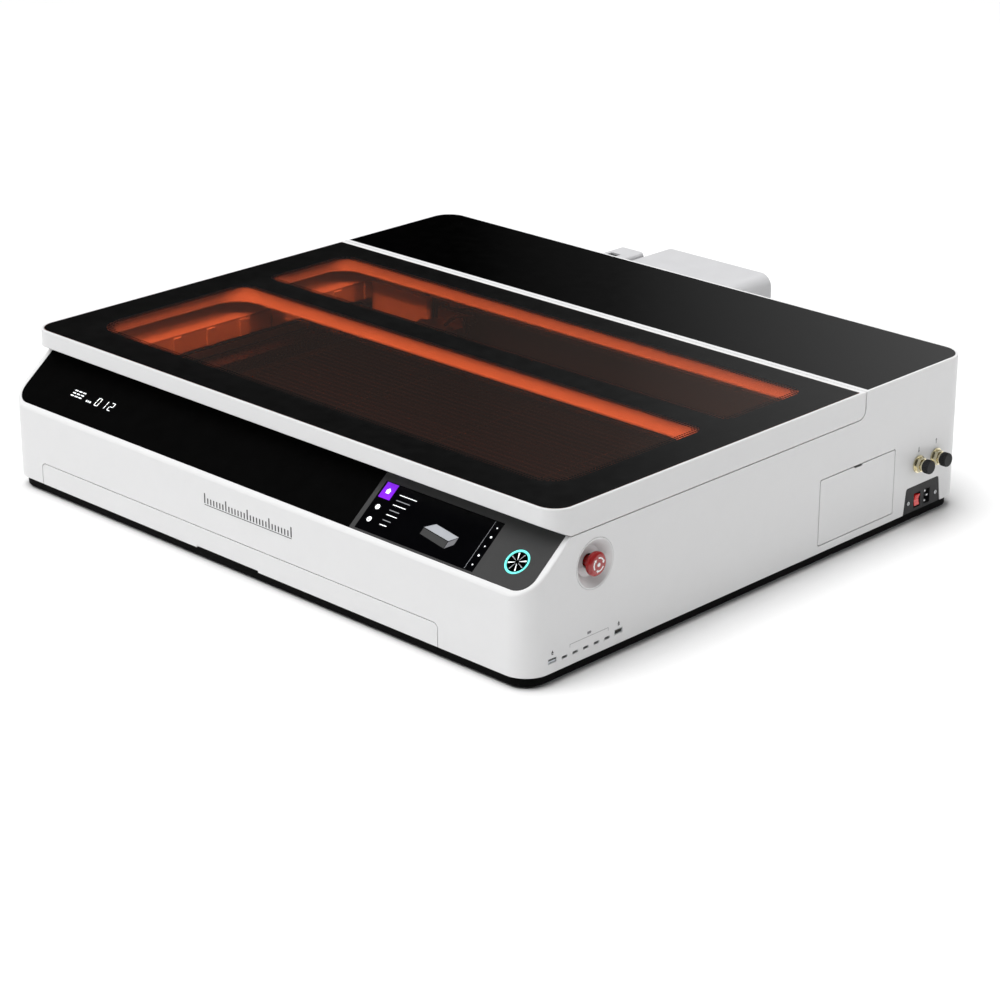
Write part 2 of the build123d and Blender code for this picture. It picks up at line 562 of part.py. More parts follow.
def hinge_arm(x):
    """Goose-neck arm that dips under the rear cover's front edge, from the pivot to the lid's rear wall."""
    half, thick = HINGE_ARM_W / 2, 6.0
    lid_face = LID_BACK_D - WALL
    low = HINGE_Z - HINGE_DROP - thick / 2
    arm = block(x - half, x + half, HINGE_D - thick / 2, HINGE_D + thick / 2, low, HINGE_Z)
    arm += block(x - half, x + half, lid_face - thick, HINGE_D + thick / 2, low, low + thick)
    arm += block(x - half, x + half, lid_face - thick, lid_face, low, LINER_Z - 2)
    arm += block(x - half - 12, x + half + 12, lid_face - thick, lid_face, LINER_Z - 13, LINER_Z - 1)
    arm += rod_x(4.5, x - half, x + half, HINGE_D, HINGE_Z)
    arm -= rod_x(PIN_R + RUN, x - half - 1, x + half + 1, HINGE_D, HINGE_Z)
    return arm


def build_hinges():
    """Hinge brackets fixed in the machine bay, each with its pin."""
    made = []
    for x in HINGE_X:
        gap = HINGE_ARM_W / 2 + 0.5
        bracket = block(x - gap - 5, x + gap + 5, BAY_D + WALL, BAY_D + WALL + SHEET, 150, HINGE_Z + 1)
        bracket -= hinge_slots(x, BAY_D, HINGE_D, HINGE_Z - 46, HINGE_Z + 2)
        for side in (-1, 1):
            x0, x1 = sorted((x + side * gap, x + side * (gap + 4)))
            cheek = block(x0, x1, BAY_D + WALL, HINGE_D, HINGE_Z - 9, HINGE_Z + 1)
            cheek += rod_x(4.0, x0, x1, HINGE_D, HINGE_Z)
            bracket += cheek
        bracket -= rod_x(PIN_R, x - 20, x + 20, HINGE_D, HINGE_Z)
        made.append(bracket)
        made.append(rod_x(PIN_R, x - gap - 5, x + gap + 5, HINGE_D, HINGE_Z))
    keep("hinge_brackets", *made)


# ---------------------------------------------------------------- chamber
def build_chamber():
    """Chamber walls, the mirror cover in the rear left corner, steel floor, bed frame and slatted bed."""
    under = DECK_Z - WALL
    front = block(-CHAMBER_HALF_W, CHAMBER_HALF_W, CHAMBER_FRONT_D - SHEET, CHAMBER_FRONT_D, FLOOR_Z, under)
    rear = block(-CHAMBER_HALF_W, CHAMBER_HALF_W, CHAMBER_BACK_D, CHAMBER_BACK_D + SHEET, FLOOR_Z, under)
    keep("chamber_walls", front, rear, *both(ribbed_wall))
    left = -CHAMBER_HALF_W + RIB_PROUD + CLEAR
    cover = block(left, COVER_X, COVER_D, CHAMBER_BACK_D, COVER_Z, under)
    cover = fillet(cover.edges().filter_by(Axis.Z).sort_by(Axis.X)[-2:].sort_by(Axis.Y)[0], 7.0)
    cover -= block(left + SHEET, COVER_X - 8, COVER_D + SHEET, CHAMBER_BACK_D + 1, COVER_Z - 1, under - SHEET)
    keep("mirror_cover", cover)
    floor = block(-HALF_W + WALL, HALF_W - WALL, CHAMBER_FRONT_D - SHEET, CHAMBER_BACK_D + SHEET,
                  FLOOR_Z - SHEET, FLOOR_Z)
    floor -= block(DRAWER_X[0] + 40, DRAWER_X[1] - 40, 130, DRAWER_D - 40, 0, FLOOR_Z + 1)
    keep("chamber_floor", floor)
    half, d0, d1 = CHAMBER_HALF_W - 5, CHAMBER_FRONT_D + 8, CHAMBER_BACK_D - 8
    frame = block(-half, half, d0, d1, FLOOR_Z, BED_TOP)
    frame -= block(-half + 12, half - 12, d0 + 12, d1 - 12, FLOOR_Z - 1, BED_TOP + 1)
    frame -= block(-half + 5, half - 5, d0 + 5, d1 - 5, BED_TOP - BED_T, BED_TOP + 1)
    keep("bed_frame", frame)
    keep("slat_bed", slat_bed(half - 5 - CLEAR, d0 + 5 + CLEAR, d1 - 5 - CLEAR))


def slat_bed(half, d0, d1):
    """Panel of slats that run across the machine, held by a rim and three cross ribs."""
    panel = block(-half, half, d0, d1, BED_TOP - BED_T, BED_TOP)
    rim, bays = 8.0, 4
    bay = 2 * (half - rim) / bays
    count = int((d1 - d0 - 2 * rim) / SLAT_PITCH)
    start = (d0 + d1 - count * SLAT_PITCH) / 2
    slots = []
    for i in range(count):
        d = start + i * SLAT_PITCH + SLAT_T / 2
        for k in range(bays):
            x = -half + rim + k * bay
            slots.append(block(x + 1.5, x + bay - 1.5, d, d + SLAT_PITCH - SLAT_T, BED_TOP - BED_T - 1, BED_TOP + 1))
    return panel - slots


def ribbed_wall(side):
    """Side wall of the chamber, with raised pillars facing the work."""
    inner = side * CHAMBER_HALF_W
    x0, x1 = sorted((inner, inner + side * SHEET))
    wall = block(x0, x1, CHAMBER_FRONT_D, CHAMBER_BACK_D, SIDE_WALL_Z, DECK_Z - WALL)
    pitch, wide = 62.0, 15.0
    count = int((CHAMBER_BACK_D - CHAMBER_FRONT_D - wide) / pitch)
    start = (CHAMBER_FRONT_D + CHAMBER_BACK_D - count * pitch) / 2
    for i in range(count + 1):
        d = start + i * pitch
        x0, x1 = sorted((inner - side * RIB_PROUD, inner))
        wall += block(x0, x1, d - wide / 2, d + wide / 2, SIDE_WALL_Z, DECK_Z - WALL)
    return wall


def build_drawer():
    """Debris drawer: white front with a finger notch, and its steel tray."""
    low = PLINTH_TOP
    front = block(DRAWER_X[0], DRAWER_X[1], 0, WALL, low, DRAWER_TOP)
    front = fillet(front.edges().filter_by(Axis.Y).sort_by(Axis.Z)[-2:], DRAWER_R)
    middle = sum(DRAWER_X) / 2
    front -= block(middle - 61, middle + 61, -1, WALL + 1, 0, low + 2.4)
    keep("drawer_front", front)
    x0, x1 = DRAWER_X[0] + 20, DRAWER_X[1] - 20
    z0, z1 = PLINTH_TOP + 1.5, DRAWER_TOP - 3
    tray = block(x0, x1, WALL, DRAWER_D - 10, z0, z1)
    tray -= block(x0 + SHEET, x1 - SHEET, WALL + SHEET, DRAWER_D - 10 - SHEET, z0 + SHEET, z1 + 1)
    keep("drawer_tray", tray)


# ---------------------------------------------------------------- motion system
def build_y_axis():
    """Rail beams with their rails, the belts, idlers, cross shaft and motor."""
    keep("y_rails", *both(rail_beam), *both(y_rail))
    keep("y_belts", *both(y_belt))
    shaft = rod_x(SHAFT_R, -Y_BELT_X - 6, Y_BELT_X + 6, Y_SHAFT_D, Y_PULLEY_Z)
    for s in (-1, 1):
        shaft += rod_x(Y_PULLEY_R, s * Y_BELT_X - 4, s * Y_BELT_X + 4, Y_SHAFT_D, Y_PULLEY_Z)
    keep("y_drive_shaft", shaft)
    idlers = both(lambda s: rod_x(Y_PULLEY_R, s * Y_BELT_X - 4, s * Y_BELT_X + 4, Y_IDLER_D, Y_PULLEY_Z)
                  - rod_x(2.5 + RUN, s * Y_BELT_X - 5, s * Y_BELT_X + 5, Y_IDLER_D, Y_PULLEY_Z))
    keep("y_idlers", *idlers)
    side = 42.0
    motor = block(60, 108, Y_SHAFT_D - side / 2, Y_SHAFT_D + side / 2, Y_PULLEY_Z - side / 2, Y_PULLEY_Z + side / 2)
    motor += block(56, 60, Y_SHAFT_D - side / 2, Y_SHAFT_D + side / 2, FEET_H + WALL, Y_PULLEY_Z + side / 2)
    motor -= rod_x(SHAFT_R + RUN, 50, 118, Y_SHAFT_D, Y_PULLEY_Z)
    keep("y_motor", motor)


def rail_beam(side):
    """Steel beam under a Y rail, with the idler's pin in front and the shaft's bearing behind."""
    x = side * RAIL_X
    beam = block(x - 17, x + 17, CHAMBER_FRONT_D, CHAMBER_BACK_D - 2, FLOOR_Z, BEAM_TOP)
    beam += block(x - 12, x + 12, CHAMBER_BACK_D - 10, Y_SHAFT_D + 12, BEAM_TOP - 12, Y_PULLEY_Z + 10)
    beam -= rod_x(SHAFT_R + RUN, x - 13, x + 13, Y_SHAFT_D, Y_PULLEY_Z)
    beam += block(x - 12, x + 12, CHAMBER_FRONT_D + 2, Y_IDLER_D + 6, BEAM_TOP - 2, Y_PULLEY_Z + 6)
    ends = sorted((x, side * (Y_BELT_X + 6)))
    return beam + rod_x(2.5, *ends, Y_IDLER_D, Y_PULLEY_Z)


def y_rail(side):
    """Linear rail on top of its beam."""
    half = RAIL_W / 2
    x = side * RAIL_X
    near, far = Y_IDLER_D + 8, CHAMBER_BACK_D - 14
    return block(x - half, x + half, near, far, BEAM_TOP, BEAM_TOP + RAIL_H)


def y_belt(side):
    """Closed belt round an idler and a drive pulley."""
    x0, x1 = side * Y_BELT_X - BELT_W / 2, side * Y_BELT_X + BELT_W / 2
    return belt_loop(Plane.YZ.offset(x0), back(Y_IDLER_D), back(Y_SHAFT_D), Y_PULLEY_Z, Y_PULLEY_R, x1 - x0)


def belt_loop(plane, a0, a1, z, radius, wide):
    """Stadium-shaped closed belt in a plane, from one pulley centre to the other."""
    run = abs(a1 - a0)
    inner_r = radius + CLEAR / 3
    outer = SlotCenterToCenter(run, 2 * (inner_r + BELT_T))
    inner = SlotCenterToCenter(run, 2 * inner_r)
    return extrude(plane * Pos((a0 + a1) / 2, z) * (outer - inner), wide)


def build_gantry():
    """Gantry beam, its end plates with their rail blocks, the X belt, motor, pulley and idler."""
    d0, d1 = GANTRY_D - GANTRY_W / 2, GANTRY_D + GANTRY_W / 2
    z0, z1 = GANTRY_Z
    reach = CHAMBER_HALF_W - 7
    beam = block(-reach, reach, d0, d1, z0, z1)
    beam -= block(-reach - 1, reach + 1, d0 + SHEET, d1 - SHEET, z0 + SHEET, z1 - SHEET)
    rail = block(-reach + 4, reach - 4, GANTRY_D - 5, GANTRY_D + 5, z1, z1 + 5)
    keep("gantry_beam", beam, rail)
    keep("gantry_ends", *both(lambda s: gantry_end(s, d0, d1, z0)))
    belt = belt_loop(Plane.XZ.offset(-back(X_BELT_D + BELT_W / 2)), -X_PULLEY_X, X_PULLEY_X, X_PULLEY_Z,
                     X_PULLEY_R, BELT_W)
    keep("x_belt", belt)
    motor = block(X_PULLEY_X - 17.5, X_PULLEY_X + 17.5, d0 + 2, d1 - 4, X_PULLEY_Z - 17.5, X_PULLEY_Z + 17.5)
    motor -= rod_y(2.5 + RUN, X_PULLEY_X, d0, d1 + 20, X_PULLEY_Z)
    keep("x_motor", motor)
    near, far = X_BELT_D - 4, X_BELT_D + 4
    pulley = rod_y(X_PULLEY_R, X_PULLEY_X, near, far, X_PULLEY_Z) + rod_y(2.5, X_PULLEY_X, d0 + 12, near, X_PULLEY_Z)
    keep("x_pulley", pulley)
    idler = rod_y(X_PULLEY_R, -X_PULLEY_X, near, far, X_PULLEY_Z)
    idler -= rod_y(2.0 + RUN, -X_PULLEY_X, near - 1, far + 1, X_PULLEY_Z)
    keep("x_idler", idler)


def gantry_end(side, d0, d1, z0):
    """End plate under the beam, with its rail block, belt clamp and, on the left, the idler's post."""
    x0, x1 = sorted((side * (CHAMBER_HALF_W - 18), side * (Y_BELT_X - BELT_W / 2 - 1)))
    plate = block(x0, x1, d0, d1, z0 - 4, z0)
    half = RAIL_W / 2
    foot = block(side * RAIL_X - 13, side * RAIL_X + 13, d0 + 2, d1 - 2, BEAM_TOP + 1.5, z0 - 4)
    foot -= block(side * RAIL_X - half - 0.2, side * RAIL_X + half + 0.2, d0, d1, 0, BEAM_TOP + RAIL_H + 0.2)
    end = plate + foot
    clamp_z = Y_PULLEY_Z + Y_PULLEY_R + BELT_T + CLEAR / 3 + 0.2
    c0, c1 = sorted((side * (RAIL_X + 20), side * (Y_BELT_X + BELT_W / 2)))
    end += block(c0, c1, GANTRY_D - 9, GANTRY_D + 9, clamp_z, z0)
    if side < 0:
        end += block(-X_PULLEY_X - 8, -X_PULLEY_X + 8, d1 - 10, d1 - 4, z0 - 1, X_PULLEY_Z + 6)
        end += rod_y(2.0, -X_PULLEY_X, d1 - 5, X_BELT_D + 6, X_PULLEY_Z)
    return end


def build_head():
    """Carriage block with the mirror and cover of the head, and the focusing lens tube."""
    z1 = GANTRY_Z[1]
    half = 32.0
    d_beam = GANTRY_D
    block_top = z1 + 12
    saddle = block(HEAD_X - half, HEAD_X + half, d_beam - 14, d_beam + 14, z1 + 0.5, block_top)
    saddle -= block(HEAD_X - half - 1, HEAD_X + half + 1, d_beam - 5.2, d_beam + 5.2, z1, z1 + 5.2)
    saddle += block(HEAD_X - half, HEAD_X + half, d_beam - 14, HEAD_D - 12, block_top, block_top + 4)
    saddle += block(HEAD_X - 26, HEAD_X + 26, HEAD_D - 12, HEAD_D - 7, 132, HEAD_TOP - 8)
    saddle += block(HEAD_X - 12, HEAD_X + 12, X_BELT_D + BELT_W / 2 + 0.4, HEAD_D - 12, 140, 155)
    keep("carriage", saddle)
    keep("head_body", head_body())
    tube_x, tube_d = HEAD_X + 4, HEAD_D + 5
    lens = rod_z(8.0, tube_x, tube_d, 126, 158) + rod_z(10.5, tube_x, tube_d, 139, 148)
    lens += extrude(Plane.XY.offset(126) * Pos(tube_x, back(tube_d)) * Circle(8.0), -12, taper=24)
    lens -= rod_z(2.0, tube_x, tube_d, 100, 160)
    keep("lens_tube", lens)


def head_body():
    """Mirror housing, focus motor, knob and air fitting on the carriage's back plate."""
    tube_x, tube_d = HEAD_X + 4, HEAD_D + 5
    d0 = HEAD_D - 7
    body = block(HEAD_X - 12, HEAD_X + 20, d0, tube_d + 12, 160, 184)
    body = fillet(body.edges().filter_by(Axis.Z), 4.0)
    body += rod_z(11.5, tube_x, tube_d, 158.5, 160.5) + rod_z(9.0, tube_x, tube_d, 183, HEAD_TOP)
    body -= rod_z(2.5, tube_x, tube_d, 150, 178)
    body += block(HEAD_X - 26, HEAD_X - 12, d0, tube_d + 6, 150, 178)
    body += rod_z(5.0, HEAD_X - 19, tube_d - 3, 177, 187)
    body += rod_x(6.0, HEAD_X + 19, HEAD_X + 29, tube_d, 172)
    body += rod_x(8.0, HEAD_X + 25, HEAD_X + 31, tube_d, 172)
    collar = rod_z(13.0, tube_x, tube_d, 150, 158.5) - rod_z(8.0 + RUN, tube_x, tube_d, 149, 160)
    body += collar & block(HEAD_X - 40, HEAD_X + 40, d0, d0 + 60, 100, 200)
    body += block(tube_x - 10, tube_x + 10, d0, d0 + 2, 150, 160)
    return body


# ---------------------------------------------------------------- machine bay and filter
def build_bay():
    """Laser tube on its mounts, the two power units and the exhaust fan."""
    reach = HALF_W - TUBE_END
    tube = rod_x(TUBE_R, -reach + 22, reach - 22, TUBE_D, TUBE_Z)
    tube += rod_x(15.0, -reach, reach, TUBE_D, TUBE_Z)
    keep("laser_tube", tube)
    mounts = []
    for x in TUBE_MOUNT_X:
        mount = block(x - 12, x + 12, TUBE_D - 36, TUBE_D + 36, FEET_H + WALL, TUBE_Z + 5)
        mount += rod_x(TUBE_R + 6, x - 12, x + 12, TUBE_D, TUBE_Z)
        mount -= rod_x(TUBE_R + CLEAR / 3, x - 13, x + 13, TUBE_D, TUBE_Z)
        mount -= block(x - 13, x + 13, TUBE_D - 20, TUBE_D + 20, FEET_H + WALL + 8, 70)
        mounts.append(mount)
    keep("tube_mounts", *mounts)
    left, near = -HALF_W + 22, BODY_D - 178
    supply = block(left, left + 188, near, near + 160, FEET_H + WALL, 82)
    for i in range(8):
        supply -= block(left + 8 + i * 22, left + 18 + i * 22, near - 2, near + 4, 20, 70)
    keep("laser_power_supply", supply)
    half = FAN_SIDE / 2
    d1 = BODY_D - WALL
    frame = block(FAN_X - half, FAN_X + half, d1 - FAN_T, d1, FAN_Z - half, FAN_Z + half)
    frame -= rod_y(half - 4, FAN_X, d1 - FAN_T - 1, d1 + 1, FAN_Z)
    for angle in (0, 90):
        bar = Pos(FAN_X, back(d1 - 1.5), FAN_Z) * Rot(0, angle + 45, 0) * Box(FAN_SIDE - 6, 3, 6)
        frame += bar
    frame += rod_y(18, FAN_X, d1 - 5, d1, FAN_Z)
    frame += rod_y(2.5, FAN_X, d1 - FAN_T + 6, d1 - 4, FAN_Z)
    keep("exhaust_fan", frame)
    hub = rod_y(18, FAN_X, d1 - FAN_T + 3, d1 - 6, FAN_Z)
    for i in range(7):
        blade = Pos(FAN_X, back(d1 - FAN_T + 14), FAN_Z) * Rot(0, i * 360 / 7, 0) * Pos(0, 0, 35) \
            * Rot(0, 0, 35) * Box(24, 2, 36)
        hub += blade
    hub -= rod_y(2.5 + RUN, FAN_X, d1 - FAN_T + 5, d1, FAN_Z)
    keep("fan_rotor", hub)


def build_filter():
    """Fume-filter housing on the back, its plug block, and the cartridge inside."""
    x0, x1 = FILTER_X
    z0, z1 = FILTER_Z
    d0, d1 = BODY_D, BODY_D + FILTER_DEEP
    outer = block(x0, x1, d0, d1, z0, z1)
    outer = fillet(outer.edges().filter_by(Axis.Y).sort_by(Axis.Z)[-2:], FILTER_R)
    wall = FILTER_WALL
    inner = block(x0 + wall, x1 - wall, d0 + wall, d1 - wall, z0 + wall, z1 - wall)
    inner = fillet(inner.edges().filter_by(Axis.Y).sort_by(Axis.Z)[-2:], FILTER_R - wall)
    housing = outer - inner
    housing -= rod_y(FAN_SIDE / 2 - 5, FAN_X, d0 - 1, d0 + wall + 1, FAN_Z)
    for i in range(9):
        z = z0 + 30 + i * 12
        housing -= block(x0 + 30, x1 - 30, d1 - wall - 1, d1 + 1, z, z + 6)
    plug = block(x0 - 52, x0, d0, d0 + 82, 120, z1)
    plug = fillet(plug.edges().filter_by(Axis.Y).sort_by(Axis.Z)[-1:], 6.0)
    edge_of_top = plug.edges().filter_by(Axis.Y).sort_by(Axis.X)[:2].sort_by(Axis.Z)[-1]
    plug = fillet(edge_of_top, 12.0)
    plug -= block(x0 - 36, x0 - 18, d0 + 30, d0 + 50, z1 - 8, z1 + 1)
    keep("filter_housing", housing, plug)
    edge = wall + 3
    cartridge = block(x0 + edge, x1 - edge, d0 + 40, d1 - edge, z0 + wall, z1 - 30)
    for i in range(12):
        x = x0 + 20 + i * 15.5
        cartridge -= block(x, x + 6, d0 + 39, d0 + 60, z0 + 12, z1 - 42)
    keep("filter_cartridge", cartridge)


# ---------------------------------------------------------------- build
def main():
    build_casing()
    build_plinth()
    build_deck()
    build_fascia()
    build_stop_button()
    build_ports()
    build_hatch()
    build_inlet()
    build_couplings()
    build_lid()
    build_hinges()
    build_chamber()
    build_drawer()
    build_y_axis()
    build_gantry()
    build_head()
    build_bay()
    build_filter()
    os.makedirs("parts", exist_ok=True)
    for name, shape in parts.items():
        export_step(shape, f"parts/{name}.step")
    print(len(parts), "nodes")


main()
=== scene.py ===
"""Desktop laser engraver: the looks of every sub-assembly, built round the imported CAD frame."""

import json
import logging
import math
from dataclasses import dataclass, field
from enum import Enum
from typing import Iterable, Sequence

import bmesh
import bpy
from mathutils import Matrix, Vector

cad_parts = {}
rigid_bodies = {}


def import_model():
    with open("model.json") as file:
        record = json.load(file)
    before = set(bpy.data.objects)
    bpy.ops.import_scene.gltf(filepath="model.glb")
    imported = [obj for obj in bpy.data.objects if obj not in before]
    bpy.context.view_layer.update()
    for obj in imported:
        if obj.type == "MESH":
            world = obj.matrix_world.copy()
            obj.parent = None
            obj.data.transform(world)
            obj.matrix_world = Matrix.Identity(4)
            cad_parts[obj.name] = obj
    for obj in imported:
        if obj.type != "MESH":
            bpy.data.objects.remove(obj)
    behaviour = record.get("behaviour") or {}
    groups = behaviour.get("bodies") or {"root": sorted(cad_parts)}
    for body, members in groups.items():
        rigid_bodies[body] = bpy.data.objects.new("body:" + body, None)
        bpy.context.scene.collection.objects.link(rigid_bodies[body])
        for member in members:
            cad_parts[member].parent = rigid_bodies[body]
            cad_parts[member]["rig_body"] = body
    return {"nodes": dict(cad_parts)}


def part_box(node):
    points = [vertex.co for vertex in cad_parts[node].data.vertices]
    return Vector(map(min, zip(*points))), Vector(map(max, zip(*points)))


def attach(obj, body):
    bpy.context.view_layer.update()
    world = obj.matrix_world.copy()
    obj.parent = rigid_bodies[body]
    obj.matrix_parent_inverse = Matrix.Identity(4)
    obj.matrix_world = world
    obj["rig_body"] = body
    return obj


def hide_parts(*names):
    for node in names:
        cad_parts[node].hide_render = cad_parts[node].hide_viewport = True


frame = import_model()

logging.basicConfig(level=logging.INFO, format="%(name)s: %(message)s")
LOG = logging.getLogger("engraver")

MM = 0.001
WELD = 2e-6
Colour = tuple[float, float, float]
Plane = tuple[int, float]


# ------------------------------------------------------------------ finishes
@dataclass(frozen=True)
class Finish:
    """One surface finish, with its grain worked out from noise on object coordinates."""

    title: str
    colour: Colour
    rough: float
    metal: float = 0.0
    coat: float = 0.0
    shade: float = 0.05
    wear: float = 0.06
    grain: float = 45.0
    bump: float = 0.0
    pitch: float = 700.0
    stretch: tuple[float, float, float] = (1.0, 1.0, 1.0)
    glow: float = 0.0
    shine: float = 0.5

    def material(self) -> bpy.types.Material:
        """Builds the material once and returns it on every later call.

        Returns:
            The procedural material of this finish.
        """
        known = bpy.data.materials.get(self.title)
        if known:
            return known
        made = bpy.data.materials.new(self.title)
        made.use_nodes = True
        made.diffuse_color = (*self.colour, 1.0)
        tree = made.node_tree
        shader = tree.nodes["Principled BSDF"]
        shader.inputs["Metallic"].default_value = self.metal
        shader.inputs["Coat Weight"].default_value = self.coat
        shader.inputs["Coat Roughness"].default_value = 0.06
        shader.inputs["Specular IOR Level"].default_value = self.shine
        coords = self.coordinates(tree)
        cloud = self.noise(tree, coords, self.grain, 3.0)
        self.tone(tree, cloud, shader)
        self.polish(tree, cloud, shader)
        if self.bump:
            self.relief(tree, coords, shader)
        if self.glow:
            shader.inputs["Emission Color"].default_value = (*self.colour, 1.0)
            shader.inputs["Emission Strength"].default_value = self.glow
        return made

    def coordinates(self, tree: bpy.types.NodeTree) -> bpy.types.NodeSocket:
        """Object coordinates, stretched along the grain.

        Args:
            tree: node tree of the material.

        Returns:
            The socket that carries the stretched coordinates.
        """
        place = tree.nodes.new("ShaderNodeTexCoord")
        turn = tree.nodes.new("ShaderNodeMapping")
        turn.inputs["Scale"].default_value = self.stretch
        tree.links.new(place.outputs["Object"], turn.inputs["Vector"])
        return turn.outputs["Vector"]

    def noise(self, tree: bpy.types.NodeTree, coords: bpy.types.NodeSocket,
              scale: float, detail: float) -> bpy.types.NodeSocket:
        """Adds a noise texture.

        Args:
            tree: node tree of the material.
            coords: coordinates that the noise reads.
            scale: cells per metre.
            detail: octaves of the noise.

        Returns:
            The noise's factor socket.
        """
        texture = tree.nodes.new("ShaderNodeTexNoise")
        texture.inputs["Scale"].default_value = scale
        texture.inputs["Detail"].default_value = detail
        tree.links.new(coords, texture.inputs["Vector"])
        return texture.outputs["Fac"]

    def tone(self, tree: bpy.types.NodeTree, cloud: bpy.types.NodeSocket, shader: bpy.types.Node) -> None:
        """Drives the base colour between a slightly darker and a slightly lighter tone."""
        ramp = tree.nodes.new("ShaderNodeValToRGB")
        ends = ramp.color_ramp.elements
        for end, at, share in ((ends[0], 0.3, 1 - self.shade), (ends[1], 0.7, 1 + self.shade)):
            end.position = at
            end.color = (*(min(1.0, c * share) for c in self.colour), 1.0)
        tree.links.new(cloud, ramp.inputs["Fac"])
        tree.links.new(ramp.outputs["Color"], shader.inputs["Base Color"])

    def polish(self, tree: bpy.types.NodeTree, cloud: bpy.types.NodeSocket, shader: bpy.types.Node) -> None:
        """Lets the roughness wander a little round its own value."""
        spread = tree.nodes.new("ShaderNodeMapRange")
        spread.inputs["From Min"].default_value = 0.3
        spread.inputs["From Max"].default_value = 0.7
        spread.inputs["To Min"].default_value = max(0.02, self.rough - self.wear)
        spread.inputs["To Max"].default_value = min(1.0, self.rough + self.wear)
        tree.links.new(cloud, spread.inputs["Value"])
        tree.links.new(spread.outputs["Result"], shader.inputs["Roughness"])

    def relief(self, tree: bpy.types.NodeTree, coords: bpy.types.NodeSocket, shader: bpy.types.Node) -> None:
        """Adds the fine moulded or brushed texture as a bump."""
        fine = self.noise(tree, coords, self.pitch, 2.0)
        bump = tree.nodes.new("ShaderNodeBump")
        bump.inputs["Strength"].default_value = self.bump
        bump.inputs["Distance"].default_value = 0.0004
        tree.links.new(fine, bump.inputs["Height"])
        tree.links.new(bump.outputs["Normal"], shader.inputs["Normal"])


@dataclass(frozen=True)
class TintedGlass(Finish):
    """Clear tinted sheet: light passes straight through it and its faces reflect more the flatter they are seen."""

    haze: float = 0.007

    def material(self) -> bpy.types.Material:
        """Builds the glass once and returns it on every later call.

        Returns:
            The tinted, see-through material.
        """
        known = bpy.data.materials.get(self.title)
        if known:
            return known
        made = bpy.data.materials.new(self.title)
        made.use_nodes = True
        tree = made.node_tree
        tree.nodes.remove(tree.nodes["Principled BSDF"])
        cloud = self.noise(tree, self.coordinates(tree), self.grain, 2.0)
        ramp = tree.nodes.new("ShaderNodeValToRGB")
        for end, share in zip(ramp.color_ramp.elements, (1 - self.shade, 1 + self.shade)):
            end.color = (*(min(1.0, c * share) for c in self.colour), 1.0)
        through = tree.nodes.new("ShaderNodeBsdfTransparent")
        mirror = tree.nodes.new("ShaderNodeBsdfGlossy")
        mirror.inputs["Roughness"].default_value = self.rough
        facing = tree.nodes.new("ShaderNodeLayerWeight")
        facing.inputs["Blend"].default_value = 0.5
        steep = tree.nodes.new("ShaderNodeMath")
        steep.operation = "POWER"
        steep.inputs[1].default_value = 5.0
        gloss = tree.nodes.new("ShaderNodeMath")
        gloss.operation = "MULTIPLY_ADD"
        gloss.inputs[1].default_value = 0.96
        gloss.inputs[2].default_value = 0.04
        tree.links.new(facing.outputs["Facing"], steep.inputs[0])
        tree.links.new(steep.outputs["Value"], gloss.inputs[0])
        mix = tree.nodes.new("ShaderNodeMixShader")
        tree.links.new(cloud, ramp.inputs["Fac"])
        tree.links.new(ramp.outputs["Color"], through.inputs["Color"])
        tree.links.new(gloss.outputs["Value"], mix.inputs[0])
        tree.links.new(through.outputs[0], mix.inputs[1])
        tree.links.new(mirror.outputs[0], mix.inputs[2])
        dust = tree.nodes.new("ShaderNodeBsdfDiffuse")
        dust.inputs["Color"].default_value = (0.8, 0.8, 0.8, 1.0)
        veil = tree.nodes.new("ShaderNodeMixShader")
        veil.inputs[0].default_value = self.haze
        tree.links.new(mix.outputs[0], veil.inputs[1])
        tree.links.new(dust.outputs[0], veil.inputs[2])
        tree.links.new(veil.outputs[0], tree.nodes["Material Output"].inputs["Surface"])
        return made


WHITE = Finish("white_casing", (0.68, 0.68, 0.683), 0.42, coat=0.12, shade=0.008, bump=0.05)
WHITE_LINER = Finish("white_liner", (0.82, 0.82, 0.81), 0.5, shade=0.02)
BEZEL_WHITE = Finish("window_bezel", (0.62, 0.62, 0.61), 0.45, shade=0.02)
GREY_WHITE = Finish("light_grey_housing", (0.50, 0.50, 0.51), 0.45, shade=0.012, bump=0.06)
BLACK_GLOSS = Finish("black_glass_panel", (0.0008, 0.0008, 0.0008), 0.09, shade=0.3, wear=0.03)
BLACK_PANEL = Finish("black_fascia", (0.0022, 0.0022, 0.0022), 0.3, shade=0.1, wear=0.02, shine=0.0)
CHARCOAL = Finish("charcoal_fascia", (0.050, 0.050, 0.050), 0.5, shade=0.03, bump=0.05, shine=0.12)
INK = Finish("printed_border", (0.0055, 0.0055, 0.0055), 0.1, shade=0.2, wear=0.03)
MATT_BLACK = Finish("matt_black_plastic", (0.012, 0.012, 0.013), 0.5, shade=0.15, bump=0.15, pitch=400.0, shine=0.3)
PLINTH_BLACK = Finish("black_plinth", (0.002, 0.002, 0.002), 0.6, shade=0.3, shine=0.04)
RUBBER = Finish("black_rubber", (0.016, 0.016, 0.017), 0.8, shade=0.2, bump=0.2, pitch=300.0)
BED_BLACK = Finish("black_slats", (0.014, 0.015, 0.017), 0.5, metal=0.2, shade=0.3, grain=14.0,
                   stretch=(0.35, 6.0, 6.0), bump=0.1)
STEEL = Finish("brushed_steel", (0.55, 0.56, 0.57), 0.3, metal=1.0, shade=0.06, bump=0.15,
               stretch=(1.0, 12.0, 12.0))
SHEET_STEEL = Finish("zinc_sheet", (0.42, 0.43, 0.44), 0.45, metal=1.0, shade=0.16, grain=90.0)
ANODISED = Finish("black_anodised", (0.03, 0.03, 0.032), 0.36, metal=0.6, shade=0.15, bump=0.08)
